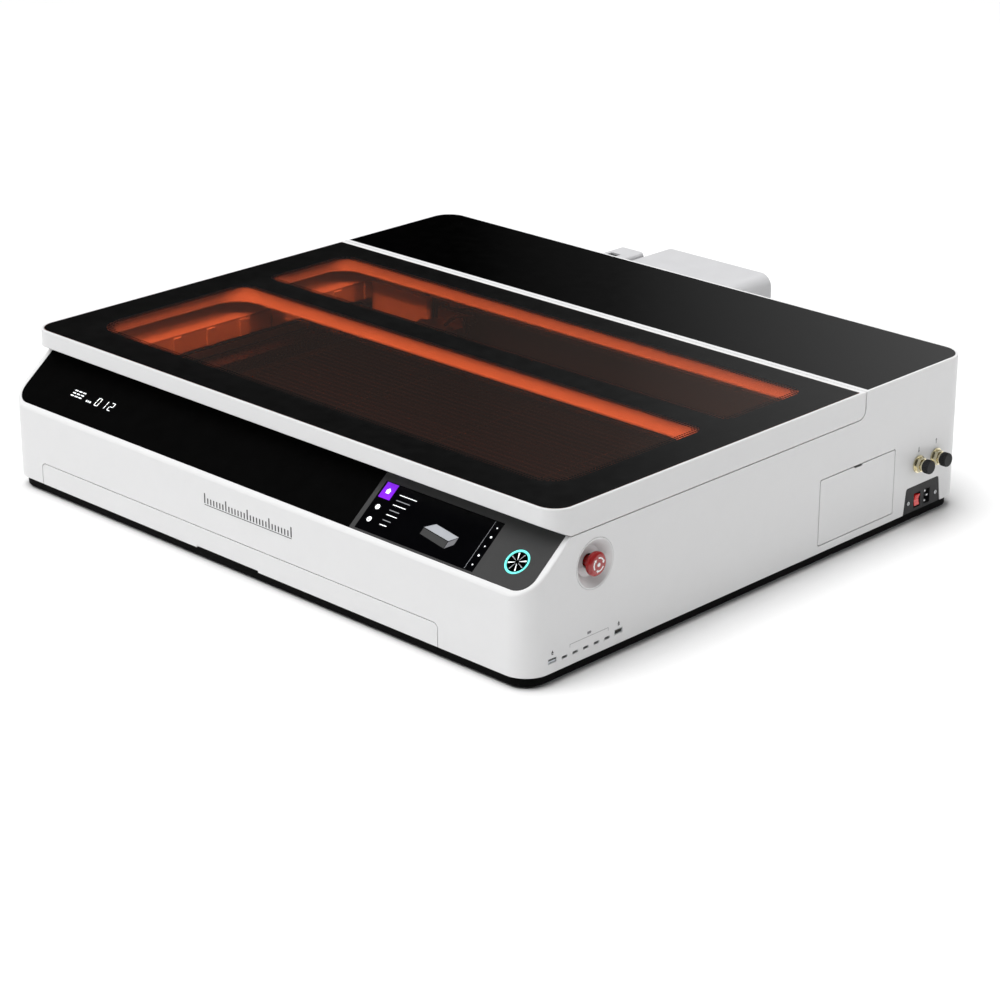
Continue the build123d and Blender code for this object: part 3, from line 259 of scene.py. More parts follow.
ALUMINIUM = Finish("silver_aluminium", (0.62, 0.63, 0.64), 0.32, metal=1.0, shade=0.05, bump=0.08)
NICKEL_BRASS = Finish("nickel_brass", (0.76, 0.70, 0.50), 0.2, metal=1.0, shade=0.06)
BELT = Finish("belt_rubber", (0.02, 0.02, 0.022), 0.7, shade=0.2)
RED_KNOB = Finish("red_knob", (0.30, 0.007, 0.007), 0.25, coat=0.3, shade=0.06)
RED_ROCKER = Finish("red_rocker", (0.62, 0.02, 0.018), 0.2, coat=0.4, shade=0.08, glow=0.12)
WHITE_INK = Finish("white_print", (0.85, 0.85, 0.85), 0.4, shade=0.02)
GREY_INK = Finish("grey_print", (0.16, 0.16, 0.17), 0.5, shade=0.05)
# Black print for marks; the same finish is also painted shade in the inlet screws' cross slots.
BLACK_PRINT_AND_SLOT_SHADE = Finish("black_print_and_painted_slot_shade", (0.02, 0.02, 0.022), 0.35, shade=0.1)
TEAL_GLOW = Finish("teal_light_ring", (0.13, 0.66, 0.58), 0.3, shade=0.03, glow=0.85)
WHITE_GLOW = Finish("white_display_glow", (0.88, 0.9, 0.92), 0.4, shade=0.03, glow=0.75)
DIM_GLOW = Finish("dim_display_glow", (0.30, 0.31, 0.33), 0.4, shade=0.05, glow=0.35)
PURPLE_GLOW = Finish("purple_tile_glow", (0.15, 0.008, 0.52), 0.4, shade=0.04, glow=0.9)
SCREEN = Finish("display_glass", (0.0012, 0.0012, 0.0016), 0.3, shade=0.1, wear=0.02, shine=0.06)
SCREEN_EDGE = Finish("display_rim", (0.035, 0.035, 0.038), 0.3, shade=0.03)
PORT_LIGHT = Finish("pale_port_tongue", (0.62, 0.66, 0.70), 0.4, shade=0.04)
BOARD = Finish("green_circuit_board", (0.02, 0.10, 0.04), 0.45, shade=0.3, grain=220.0)
TUBE_GLASS = Finish("laser_tube_glass", (0.55, 0.60, 0.62), 0.12, shade=0.06, coat=0.5)
FILTER_PAPER = Finish("pleated_filter", (0.70, 0.69, 0.64), 0.9, shade=0.06, bump=0.3)
WHITE_MATT = Finish("pale_floor", (0.86, 0.86, 0.86), 0.75, shade=0.004, grain=3.0)
LID_GLASS = TintedGlass("orange_laser_glass", (0.95, 0.58, 0.41), 0.02, shade=0.01, grain=6.0)

CAD_FINISHES: dict[str, Finish] = {
    "bed_frame": BED_BLACK, "carriage": ALUMINIUM, "chamber_floor": SHEET_STEEL, "circuit_boards": BOARD,
    "data_ports": STEEL, "drawer_tray": SHEET_STEEL, "exhaust_fan": MATT_BLACK, "fan_rotor": MATT_BLACK,
    "filter_cartridge": FILTER_PAPER, "gantry_beam": ANODISED, "gantry_ends": ANODISED,
    "hinge_arms": STEEL, "hinge_brackets": STEEL, "laser_power_supply": SHEET_STEEL,
    "laser_tube": TUBE_GLASS, "lens_tube": ALUMINIUM,
    "mains_socket": MATT_BLACK, "slat_bed": BED_BLACK, "top_deck": WHITE, "tube_mounts": MATT_BLACK,
    "x_belt": BELT, "x_idler": ALUMINIUM, "x_motor": MATT_BLACK, "x_pulley": ALUMINIUM,
    "y_belts": BELT, "y_drive_shaft": STEEL, "y_idlers": ALUMINIUM, "y_motor": MATT_BLACK,
    "y_rails": STEEL, "estop_stem": RED_KNOB,
}


# ------------------------------------------------------------------ shaping
class Axis(Enum):
    """World direction that a round piece's own axis follows."""

    X = Matrix.Rotation(math.pi / 2, 4, "Y")
    Y = Matrix.Rotation(-math.pi / 2, 4, "X")
    Z = Matrix.Identity(4)


@dataclass(frozen=True)
class Panel:
    """Flat place on the machine: local X and Y lie in it, and local Z points out of it."""

    place: Matrix

    def bar(self, bm: bmesh.types.BMesh, x: tuple[float, float], y: tuple[float, float],
            high: float, low: float = 0.0, lean: float = 0.0) -> None:
        """Adds a small rectangular block that stands on the panel.

        Args:
            bm: mesh that gets the block.
            x: its two ends across the panel, in millimetres.
            y: its two ends up the panel, in millimetres.
            high: height of its top over the panel, in millimetres.
            low: height of its foot.
            lean: sideways lean for each millimetre up the panel.
        """
        size = Vector((x[1] - x[0], y[1] - y[0], high - low)) * MM
        middle = Vector((sum(x) / 2, sum(y) / 2, (high + low) / 2)) * MM
        tilt = Matrix.Identity(4)
        tilt[0][1] = lean
        matrix = self.place @ tilt @ Matrix.Translation(middle) @ Matrix.Diagonal((*size, 1.0))
        bmesh.ops.create_cube(bm, size=1.0, matrix=matrix)

    def disc(self, bm: bmesh.types.BMesh, x: float, y: float, radius: float, high: float,
             low: float = 0.0, steps: int = 32, top: float | None = None) -> None:
        """Adds a round boss that stands on the panel.

        Args:
            bm: mesh that gets the boss.
            x: its centre across the panel, in millimetres.
            y: its centre up the panel.
            radius: its radius.
            high: height of its top over the panel.
            low: height of its foot.
            steps: number of its sides.
            top: radius of its top, where it tapers.
        """
        middle = Matrix.Translation(Vector((x, y, (high + low) / 2)) * MM)
        bmesh.ops.create_cone(bm, cap_ends=True, segments=steps, radius1=radius * MM,
                              radius2=(radius if top is None else top) * MM,
                              depth=(high - low) * MM, matrix=self.place @ middle)

    def band(self, bm: bmesh.types.BMesh, x: float, y: float, radii: tuple[float, float],
             high: float, turn: tuple[float, float] = (0.0, 360.0), low: float = 0.0,
             steps: int = 48) -> None:
        """Adds a ring, or a piece of one, that stands on the panel.

        Args:
            bm: mesh that gets the ring.
            x: its centre across the panel, in millimetres.
            y: its centre up the panel.
            radii: its inner and outer radius.
            high: height of its top over the panel.
            turn: its first and last angle, in degrees.
            low: height of its foot.
            steps: sides along its length.
        """
        first, last = (math.radians(a) for a in turn)
        corners = ((radii[0], low), (radii[1], low), (radii[1], high), (radii[0], high))
        ring = bmesh.new()
        across = Vector((math.cos(first), math.sin(first), 0))
        verts = [ring.verts.new((across * r + Vector((0, 0, h))) * MM) for r, h in corners]
        face = ring.faces.new(verts)
        whole = abs(turn[1] - turn[0]) >= 360.0
        bmesh.ops.spin(ring, geom=[face, *face.edges, *face.verts], cent=(0, 0, 0), axis=(0, 0, 1),
                       angle=last - first, steps=steps, use_merge=whole)
        if whole:
            bmesh.ops.delete(ring, geom=[f for f in ring.faces if all(
                len(e.link_faces) > 2 for e in f.edges)], context="FACES_ONLY")
            bmesh.ops.remove_doubles(ring, verts=ring.verts, dist=WELD)
        bmesh.ops.recalc_face_normals(ring, faces=ring.faces)
        bmesh.ops.transform(ring, verts=ring.verts,
                            matrix=self.place @ Matrix.Translation(Vector((x, y, 0)) * MM))
        pour(ring, bm)

    def blade(self, bm: bmesh.types.BMesh, points: Sequence[tuple[float, float]],
              high: float, low: float = 0.0) -> None:
        """Adds a flat-sided figure that stands on the panel.

        Args:
            bm: mesh that gets the figure.
            points: its corners in turn, anticlockwise, in millimetres.
            high: height of its top over the panel.
            low: height of its foot.
        """
        figure = bmesh.new()
        face = figure.faces.new([figure.verts.new(Vector((x, y, low)) * MM) for x, y in points])
        rise(figure, [face], (high - low) * MM)
        bmesh.ops.transform(figure, verts=figure.verts, matrix=self.place)
        pour(figure, bm)


def pour(source: bmesh.types.BMesh, target: bmesh.types.BMesh) -> None:
    """Adds one mesh to another and frees the first."""
    carrier = bpy.data.meshes.new("carrier")
    source.to_mesh(carrier)
    source.free()
    target.from_mesh(carrier)
    bpy.data.meshes.remove(carrier)


def rise(bm: bmesh.types.BMesh, faces: Sequence[bmesh.types.BMFace], height: float) -> None:
    """Extrudes flat faces along Z into closed prisms.

    Args:
        bm: mesh that holds the faces.
        faces: the faces to raise.
        height: how far they rise, in metres.
    """
    under = bmesh.ops.duplicate(bm, geom=list(faces))["geom"]
    bmesh.ops.reverse_faces(bm, faces=[g for g in under if isinstance(g, bmesh.types.BMFace)])
    grown = bmesh.ops.extrude_face_region(bm, geom=list(faces))["geom"]
    bmesh.ops.translate(bm, verts=[g for g in grown if isinstance(g, bmesh.types.BMVert)], vec=(0, 0, height))
    bmesh.ops.delete(bm, geom=list(faces), context="FACES_ONLY")
    bmesh.ops.remove_doubles(bm, verts=bm.verts, dist=WELD)
    bmesh.ops.recalc_face_normals(bm, faces=bm.faces)


def rod(bm: bmesh.types.BMesh, axis: Axis, middle: Sequence[float], radius: float, length: float,
        tip: float | None = None, steps: int = 40) -> None:
    """Adds a round bar.

    Args:
        bm: mesh that gets the bar.
        axis: direction of its axis.
        middle: its centre, in metres.
        radius: radius at its lower end.
        length: its length.
        tip: radius at its upper end, where it tapers.
        steps: number of its sides.
    """
    bmesh.ops.create_cone(bm, cap_ends=True, segments=steps, radius1=radius,
                          radius2=radius if tip is None else tip, depth=length,
                          matrix=Matrix.Translation(middle) @ axis.value)


def brick(bm: bmesh.types.BMesh, low: Sequence[float], high: Sequence[float]) -> None:
    """Adds a rectangular block between two corners, in metres."""
    low, high = Vector(low), Vector(high)
    size = Matrix.Diagonal((*(high - low), 1.0))
    bmesh.ops.create_cube(bm, size=1.0, matrix=Matrix.Translation((low + high) / 2) @ size)


def soften(bm: bmesh.types.BMesh, edges: Sequence[bmesh.types.BMEdge], width: float, steps: int) -> None:
    """Rounds edges of a mesh."""
    bmesh.ops.bevel(bm, geom=list(edges), offset=width, offset_type="OFFSET", segments=steps,
                    profile=0.5, affect="EDGES", clamp_overlap=False, material=-1)


def crisp_edges(bm: bmesh.types.BMesh, flush: Iterable[Plane] = (), angle: float = 28.0) -> list[bmesh.types.BMEdge]:
    """Finds the sharp edges of a mesh, without those in a joint face.

    Args:
        bm: mesh to search.
        flush: planes, as axis number and place, whose edges stay sharp.
        angle: smallest angle of a sharp edge, in degrees.

    Returns:
        The edges to round.
    """
    def in_joint(edge: bmesh.types.BMEdge) -> bool:
        """Says whether an edge lies in one of the joint faces."""
        return any(all(abs(v.co[axis] - at) < 1e-4 for v in edge.verts) for axis, at in flush)

    limit = math.radians(angle)
    return [e for e in bm.edges if len(e.link_faces) == 2 and e.calc_face_angle(0.0) > limit and not in_joint(e)]


def copy_of(node: str) -> bmesh.types.BMesh:
    """Copies a CAD node's mesh, with its loose triangles merged into whole faces.

    Args:
        node: name of the CAD node.

    Returns:
        The merged copy.
    """
    bm = bmesh.new()
    bm.from_mesh(frame["nodes"][node].data)
    bmesh.ops.remove_doubles(bm, verts=bm.verts, dist=WELD)
    bmesh.ops.dissolve_degenerate(bm, dist=WELD, edges=bm.edges)
    bmesh.ops.dissolve_limit(bm, angle_limit=math.radians(0.4), use_dissolve_boundaries=False,
                             verts=bm.verts, edges=bm.edges)
    return bm


def body_of_node(node: str) -> str:
    """Name of the CAD body that a node belongs to."""
    return frame["nodes"][node]["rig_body"]


def settle(name: str, bm: bmesh.types.BMesh, finish: Finish | Sequence[Finish], body: str,
           stands_for: Sequence[str] = (), crisp: float = 32.0) -> bpy.types.Object:
    """Turns a mesh into a dressed piece that rides on its body.

    Args:
        name: name of the piece.
        bm: its mesh, which is freed.
        finish: its finish, or the finishes of its material indices in turn.
        body: CAD body that it moves with.
        stands_for: CAD nodes that it replaces.
        crisp: smallest angle of an edge that stays sharp in the shading, in degrees.

    Returns:
        The piece.
    """
    limit = math.radians(crisp)
    for face in bm.faces:
        face.smooth = True
    for edge in bm.edges:
        edge.smooth = edge.calc_face_angle(0.0) < limit
    mesh = bpy.data.meshes.new(name)
    bm.to_mesh(mesh)
    bm.free()
    for each in [finish] if isinstance(finish, Finish) else finish:
        mesh.materials.append(each.material())
    piece = bpy.data.objects.new(name, mesh)
    bpy.context.scene.collection.objects.link(piece)
    weighted = piece.modifiers.new("even_shading", "WEIGHTED_NORMAL")
    weighted.keep_sharp = True
    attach(piece, body)
    if stands_for:
        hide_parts(*stands_for)
    LOG.info("%s: %d faces on %s", name, len(mesh.polygons), body)
    return piece


def rounded_copy(node: str, finish: Finish, width: float = 0.6, steps: int = 2,
                 flush: Iterable[Plane] = (), name: str | None = None) -> bpy.types.Object:
    """Shows a CAD node as a copy whose sharp edges are rounded.

    Args:
        node: name of the CAD node.
        finish: finish of the copy.
        width: radius of its edges, in millimetres.
        steps: facets across a rounded edge.
        flush: joint planes whose edges stay sharp.
        name: name of the piece, where it isn't the node's.

    Returns:
        The piece.
    """
    bm = copy_of(node)
    soften(bm, crisp_edges(bm, flush), width * MM, steps)
    return settle(name or f"{node}_shown", bm, finish, body_of_node(node), [node])


def outline(bm: bmesh.types.BMesh, low: tuple[float, float], high: tuple[float, float], z: float,
            front_r: float, back_r: float) -> list[bmesh.types.BMEdge]:
    """Adds a closed rounded rectangle of edges.

    Args:
        bm: mesh that gets the edges.
        low: lowest X and Y, in metres.
        high: highest X and Y.
        z: height of the outline.
        front_r: radius of the two front corners.
        back_r: radius of the two back corners.

    Returns:
        The edges of the outline.
    """
    flat = bmesh.new()
    corners = ((low[0], low[1]), (high[0], low[1]), (high[0], high[1]), (low[0], high[1]))
    flat.faces.new([flat.verts.new((x, y, z)) for x, y in corners])
    for at, radius in ((low[1], front_r), (high[1], back_r)):
        if radius:
            bmesh.ops.bevel(flat, geom=[v for v in flat.verts if abs(v.co.y - at) < 1e-6], offset=radius,
                            segments=10, profile=0.5, affect="VERTICES", material=-1)
    bmesh.ops.delete(flat, geom=flat.faces[:], context="FACES_ONLY")
    before = set(bm.edges)
    pour(flat, bm)
    return [e for e in bm.edges if e not in before]


# ------------------------------------------------------------------ places
BOX_LOW, BOX_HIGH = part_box("casing_front")
RIGHT_X = BOX_HIGH.x
FRONT_Y = BOX_LOW.y
DECK_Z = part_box("top_deck")[1].z
GLASS_LOW, GLASS_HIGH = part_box("lid_glass")
CASING_JOINTS: tuple[Plane, ...] = (
    (1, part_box("casing_front")[1].y),
    (1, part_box("casing_rear")[0].y),
    (2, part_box("casing_right")[1].z),
)
SIDE = Panel(Matrix(((0, 0, 1, RIGHT_X), (1, 0, 0, FRONT_Y), (0, 1, 0, 0), (0, 0, 0, 1))))
FRONT = Panel(Matrix(((1, 0, 0, 0), (0, 0, -1, FRONT_Y), (0, 1, 0, 0), (0, 0, 0, 1))))


@dataclass(frozen=True)
class Sill:
    """Sloping sill at the front, as the CAD makes it, in millimetres."""

    foot_z: float = 122.3
    run: float = 74.7

    @property
    def angle(self) -> float:
        """Slope of the sill, in radians."""
        return math.atan2(DECK_Z / MM - self.foot_z, self.run)

    @property
    def panel(self) -> Panel:
        """The sill's face: X across the machine, Y up the slope."""
        lift = Matrix.Translation((0, FRONT_Y, self.foot_z * MM))
        return Panel(lift @ Matrix.Rotation(self.angle, 4, "X"))


# ------------------------------------------------------------------ cabinet
@dataclass
class Casing:
    """White surround of the cabinet with its plinth, feet, drawer front and side hatch."""

    sill: Sill = field(default_factory=Sill)
    sill_edge: float = 2.6
    edge: float = 0.8
    motif_x: tuple[float, float] = (-80.0, 88.0)
    motif_z: float = 86.0
    motif_ticks: int = 29

    def build(self) -> None:
        """Builds and dresses the casing."""
        self.front()
        for node in ("casing_left", "casing_right", "casing_rear"):
            rounded_copy(node, WHITE, self.edge, 2, CASING_JOINTS)
        rounded_copy("rear_cover_frame", WHITE, 1.0, 3, CASING_JOINTS)
        rounded_copy("rear_cover_plate", BLACK_GLOSS, 0.35, 2)
        rounded_copy("base_plinth", PLINTH_BLACK, 0.8)
        rounded_copy("rubber_feet", RUBBER, 0.8)
        rounded_copy("drawer_front", WHITE, 0.5)
        rounded_copy("side_hatch", WHITE, 0.5)
        self.motif()

    def front(self) -> None:
        """Front moulding, with a broader rounding where the upright faces turn into the slope."""
        bm = copy_of("casing_front")
        slope = Vector((0, -math.sin(self.sill.angle), math.cos(self.sill.angle)))

        def at_sill(edge: bmesh.types.BMEdge) -> bool:
            """Says whether an edge joins the slope to an upright outer face."""
            normals = [f.normal for f in edge.link_faces]
            sloped = any(n.dot(slope) > 0.999 for n in normals)
            upright = any(abs(n.z) < 0.02 for n in normals)
            high = min(v.co.z for v in edge.verts) > (self.sill.foot_z - 1) * MM
            outer = all(abs(v.co.x) > 0.495 or v.co.y < FRONT_Y + 0.036 for v in edge.verts)
            convex = edge.is_convex
            near_face = all(abs(v.co.y - FRONT_Y) < 1e-4 or abs(v.co.x) > 0.464 for v in edge.verts)
            return len(normals) == 2 and sloped and upright and high and outer and convex and near_face

        inner = 0.4915
        edges = [e for e in bm.edges if at_sill(e) and not self.round_fascia(e, inner)]
        soften(bm, edges, self.sill_edge * MM, 4)
        soften(bm, crisp_edges(bm, (*CASING_JOINTS, (2, DECK_Z)), 34.0), 0.5 * MM, 2)
        settle("casing_front_shown", bm, WHITE, "cabinet", ["casing_front"])

    def round_fascia(self, edge: bmesh.types.BMEdge, inner: float) -> bool:
        """Says whether an edge belongs to the recess of the fascia and not to the outside."""
        middle = (edge.verts[0].co + edge.verts[1].co) / 2
        corner = Vector((max(0.0, abs(middle.x) - 0.465), max(0.0, FRONT_Y + 0.035 - middle.y)))
        outside = corner.length > 0.0335 or abs(middle.x) > 0.4985 or middle.y < FRONT_Y + 0.0015
        return not outside and abs(middle.x) < inner + 0.01

    def motif(self) -> None:
        """Generic ruler mark on the front, in place of any name."""
        bm = bmesh.new()
        first, last = self.motif_x
        for i in range(self.motif_ticks):
            x = first + (last - first) * i / (self.motif_ticks - 1)
            high = 14.0 if i % 7 == 0 else 8.0
            FRONT.bar(bm, (x - 1.1, x + 1.1), (self.motif_z, self.motif_z + high), 0.12)
        FRONT.bar(bm, (first - 0.55, last + 0.55), (self.motif_z - 2.4, self.motif_z - 1.4), 0.12)
        settle("front_ruler_mark", bm, BLACK_PRINT_AND_SLOT_SHADE, "cabinet")


# ------------------------------------------------------------------ front controls
class Segment(Enum):
    """Bars of a seven-bar digit: where each starts and ends, in shares of the digit's size."""

    TOP = ((0.12, 0.88), (0.93, 1.0))
    MIDDLE = ((0.12, 0.88), (0.465, 0.535))
    FOOT = ((0.12, 0.88), (0.0, 0.07))
    UPPER_LEFT = ((0.0, 0.15), (0.54, 0.95))
    UPPER_RIGHT = ((0.85, 1.0), (0.54, 0.95))
    LOWER_LEFT = ((0.0, 0.15), (0.05, 0.46))
    LOWER_RIGHT = ((0.85, 1.0), (0.05, 0.46))


DIGITS: dict[int, tuple[Segment, ...]] = {
    0: (Segment.TOP, Segment.FOOT, Segment.UPPER_LEFT, Segment.UPPER_RIGHT, Segment.LOWER_LEFT, Segment.LOWER_RIGHT),
    1: (Segment.UPPER_RIGHT, Segment.LOWER_RIGHT),
    2: (Segment.TOP, Segment.UPPER_RIGHT, Segment.MIDDLE, Segment.LOWER_LEFT, Segment.FOOT),
}


@dataclass
class FrontPanel:
    """Black fascia on the slope, with its readout, touch display and start button."""

    sill: Sill = field(default_factory=Sill)
    screen_x: tuple[float, float] = (197.0, 401.0)
    screen_s: tuple[float, float] = (11.0, 83.5)
    button: tuple[float, float] = (451.0, 43.5)
    button_r: float = 14.0
    ring_r: float = 17.0
    readout: tuple[float, float] = (-399.0, 39.0)
    digit: tuple[float, float] = (7.6, 13.0)
    lift: float = 0.08

    def build(self) -> None:
        """Builds and dresses the front controls."""
        rounded_copy("fascia_left", BLACK_PANEL, 0.3)
        rounded_copy("fascia_right", CHARCOAL, 0.3)
        rounded_copy("touch_display", SCREEN, 0.2)
        self.face = self.sill.panel
        self.start_button()
        self.numbers()
        self.menu()
        self.picture()

    def start_button(self) -> None:
        """Lit ring, and the dark button with its star of eight blades."""
        rounded_copy("start_ring", TEAL_GLOW, 0.4, 3)
        rounded_copy("start_button", BLACK_GLOSS, 0.5, 3)
        x, s = self.button
        top = -0.4
        for title, finish, turn in (("bright", WHITE_GLOW, 22.0), ("dim", DIM_GLOW, 67.0)):
            bm = bmesh.new()
            for i in range(4):
                way = math.radians(turn + 90.0 * i)
                along = Vector((math.cos(way), math.sin(way)))
                side = Vector((-along.y, along.x))
                wide = 1.0 if title == "bright" else 0.7
                points = [along * 2.6 - side * 0.15, along * 12.6 - side * wide,
                          along * 12.6 + side * wide, along * 2.6 + side * 0.15]
                self.face.blade(bm, [(x + p.x, s + p.y) for p in points], top + self.lift, top - 0.1)
            settle(f"start_star_{title}", bm, finish, "start_key")

    def numbers(self) -> None:
        """Air readout: a small generic mark and three digits."""
        bm = bmesh.new()
        x0, s0 = self.readout
        wide, high = self.digit
        for i in range(3):
            s = s0 + 2.0 + i * 4.4
            for k in range(3):
                self.face.bar(bm, (x0 + k * 8.6 + i * 1.2, x0 + k * 8.6 + i * 1.2 + 6.2), (s, s + 1.6), self.lift)
        for place, value in enumerate((0, 1, 2)):
            x = x0 + 52.0 + place * (wide + 6.4)
            for segment in DIGITS[value]:
                (a, b), (c, d) = segment.value
                lean = 0.18
                shift = -lean * s0
                self.face.bar(bm, (x + shift + a * wide, x + shift + b * wide), (s0 + c * high, s0 + d * high),
                              self.lift, lean=lean)
        for k in range(3):
            self.face.bar(bm, (x0 + 34.0 + k * 4.0, x0 + 36.4 + k * 4.0), (s0 + 1.0, s0 + 3.6), self.lift)
        settle("air_readout", bm, WHITE_GLOW, "cabinet")

    def menu(self) -> None:
        """Tiles, icons and generic list lines of the display."""
        tile = bmesh.new()
        x0, s1 = self.screen_x[0] + 3.0, self.screen_s[1] - 1.0
        self.face.bar(tile, (x0, x0 + 20.0), (s1 - 23.0, s1), self.lift)
        settle("home_tile", tile, PURPLE_GLOW, "cabinet")
        icons = bmesh.new()
        middle = x0 + 10.0
        self.face.blade(icons, [(middle - 4.2, s1 - 11.5), (middle + 4.2, s1 - 11.5), (middle, s1 - 7.4)], 0.16)
        self.face.bar(icons, (middle - 3.0, middle + 3.0), (s1 - 15.2, s1 - 11.5), 0.16)
        for s in (s1 - 36.0, s1 - 55.0):
            self.face.band(icons, middle, s, (2.0, 3.6), 0.16, steps=20)
            self.face.disc(icons, middle, s, 1.1, 0.16, steps=12)
        right = self.screen_x[1] - 6.0
        for i, radius in enumerate((1.0, 1.5, 0.9, 1.4, 1.0)):
            self.face.disc(icons, right, self.screen_s[1] - 9.0 - i * 13.6, radius, 0.16, steps=16)
        for s, wide in ((s1 - 12.0, 30.0), (s1 - 27.0, 22.0), (s1 - 42.0, 18.0), (s1 - 57.0, 12.0)):
            self.face.bar(icons, (x0 + 30.0, x0 + 30.0 + wide), (s, s + 1.0), 0.12)
        settle("display_icons", icons, WHITE_GLOW, "cabinet")
        lines = bmesh.new()
        for s, wide in ((s1 - 20.0, 24.0), (s1 - 35.0, 17.0), (s1 - 50.0, 14.0)):
            self.face.bar(lines, (x0 + 30.0, x0 + 30.0 + wide), (s, s + 0.9), 0.12)
        edge = right - 8.0
        self.face.bar(lines, (edge, edge + 0.4), (self.screen_s[0] + 1.0, self.screen_s[1] - 1.0), 0.06)
        settle("display_lines", lines, DIM_GLOW, "cabinet")

    def picture(self) -> None:
        """Small plain drawing of a flat box on the display, between two tones of grey."""
        middle = sum(self.screen_x) / 2 + 22.0
        foot = self.screen_s[0] + 18.0
        for title, points, finish in (
            ("top", ((-26, 14), (20, 8), (31, 17), (-12, 23)), DIM_GLOW),
            ("front", ((-26, 4), (20, -3), (20, 7), (-26, 13)), CHARCOAL),
            ("side", ((21, -3), (31, 6), (31, 16), (21, 7)), GREY_INK),
        ):
            bm = bmesh.new()
            self.face.blade(bm, [(middle + x, foot + s) for x, s in points], 0.12)
            settle(f"display_box_{title}", bm, finish, "cabinet")


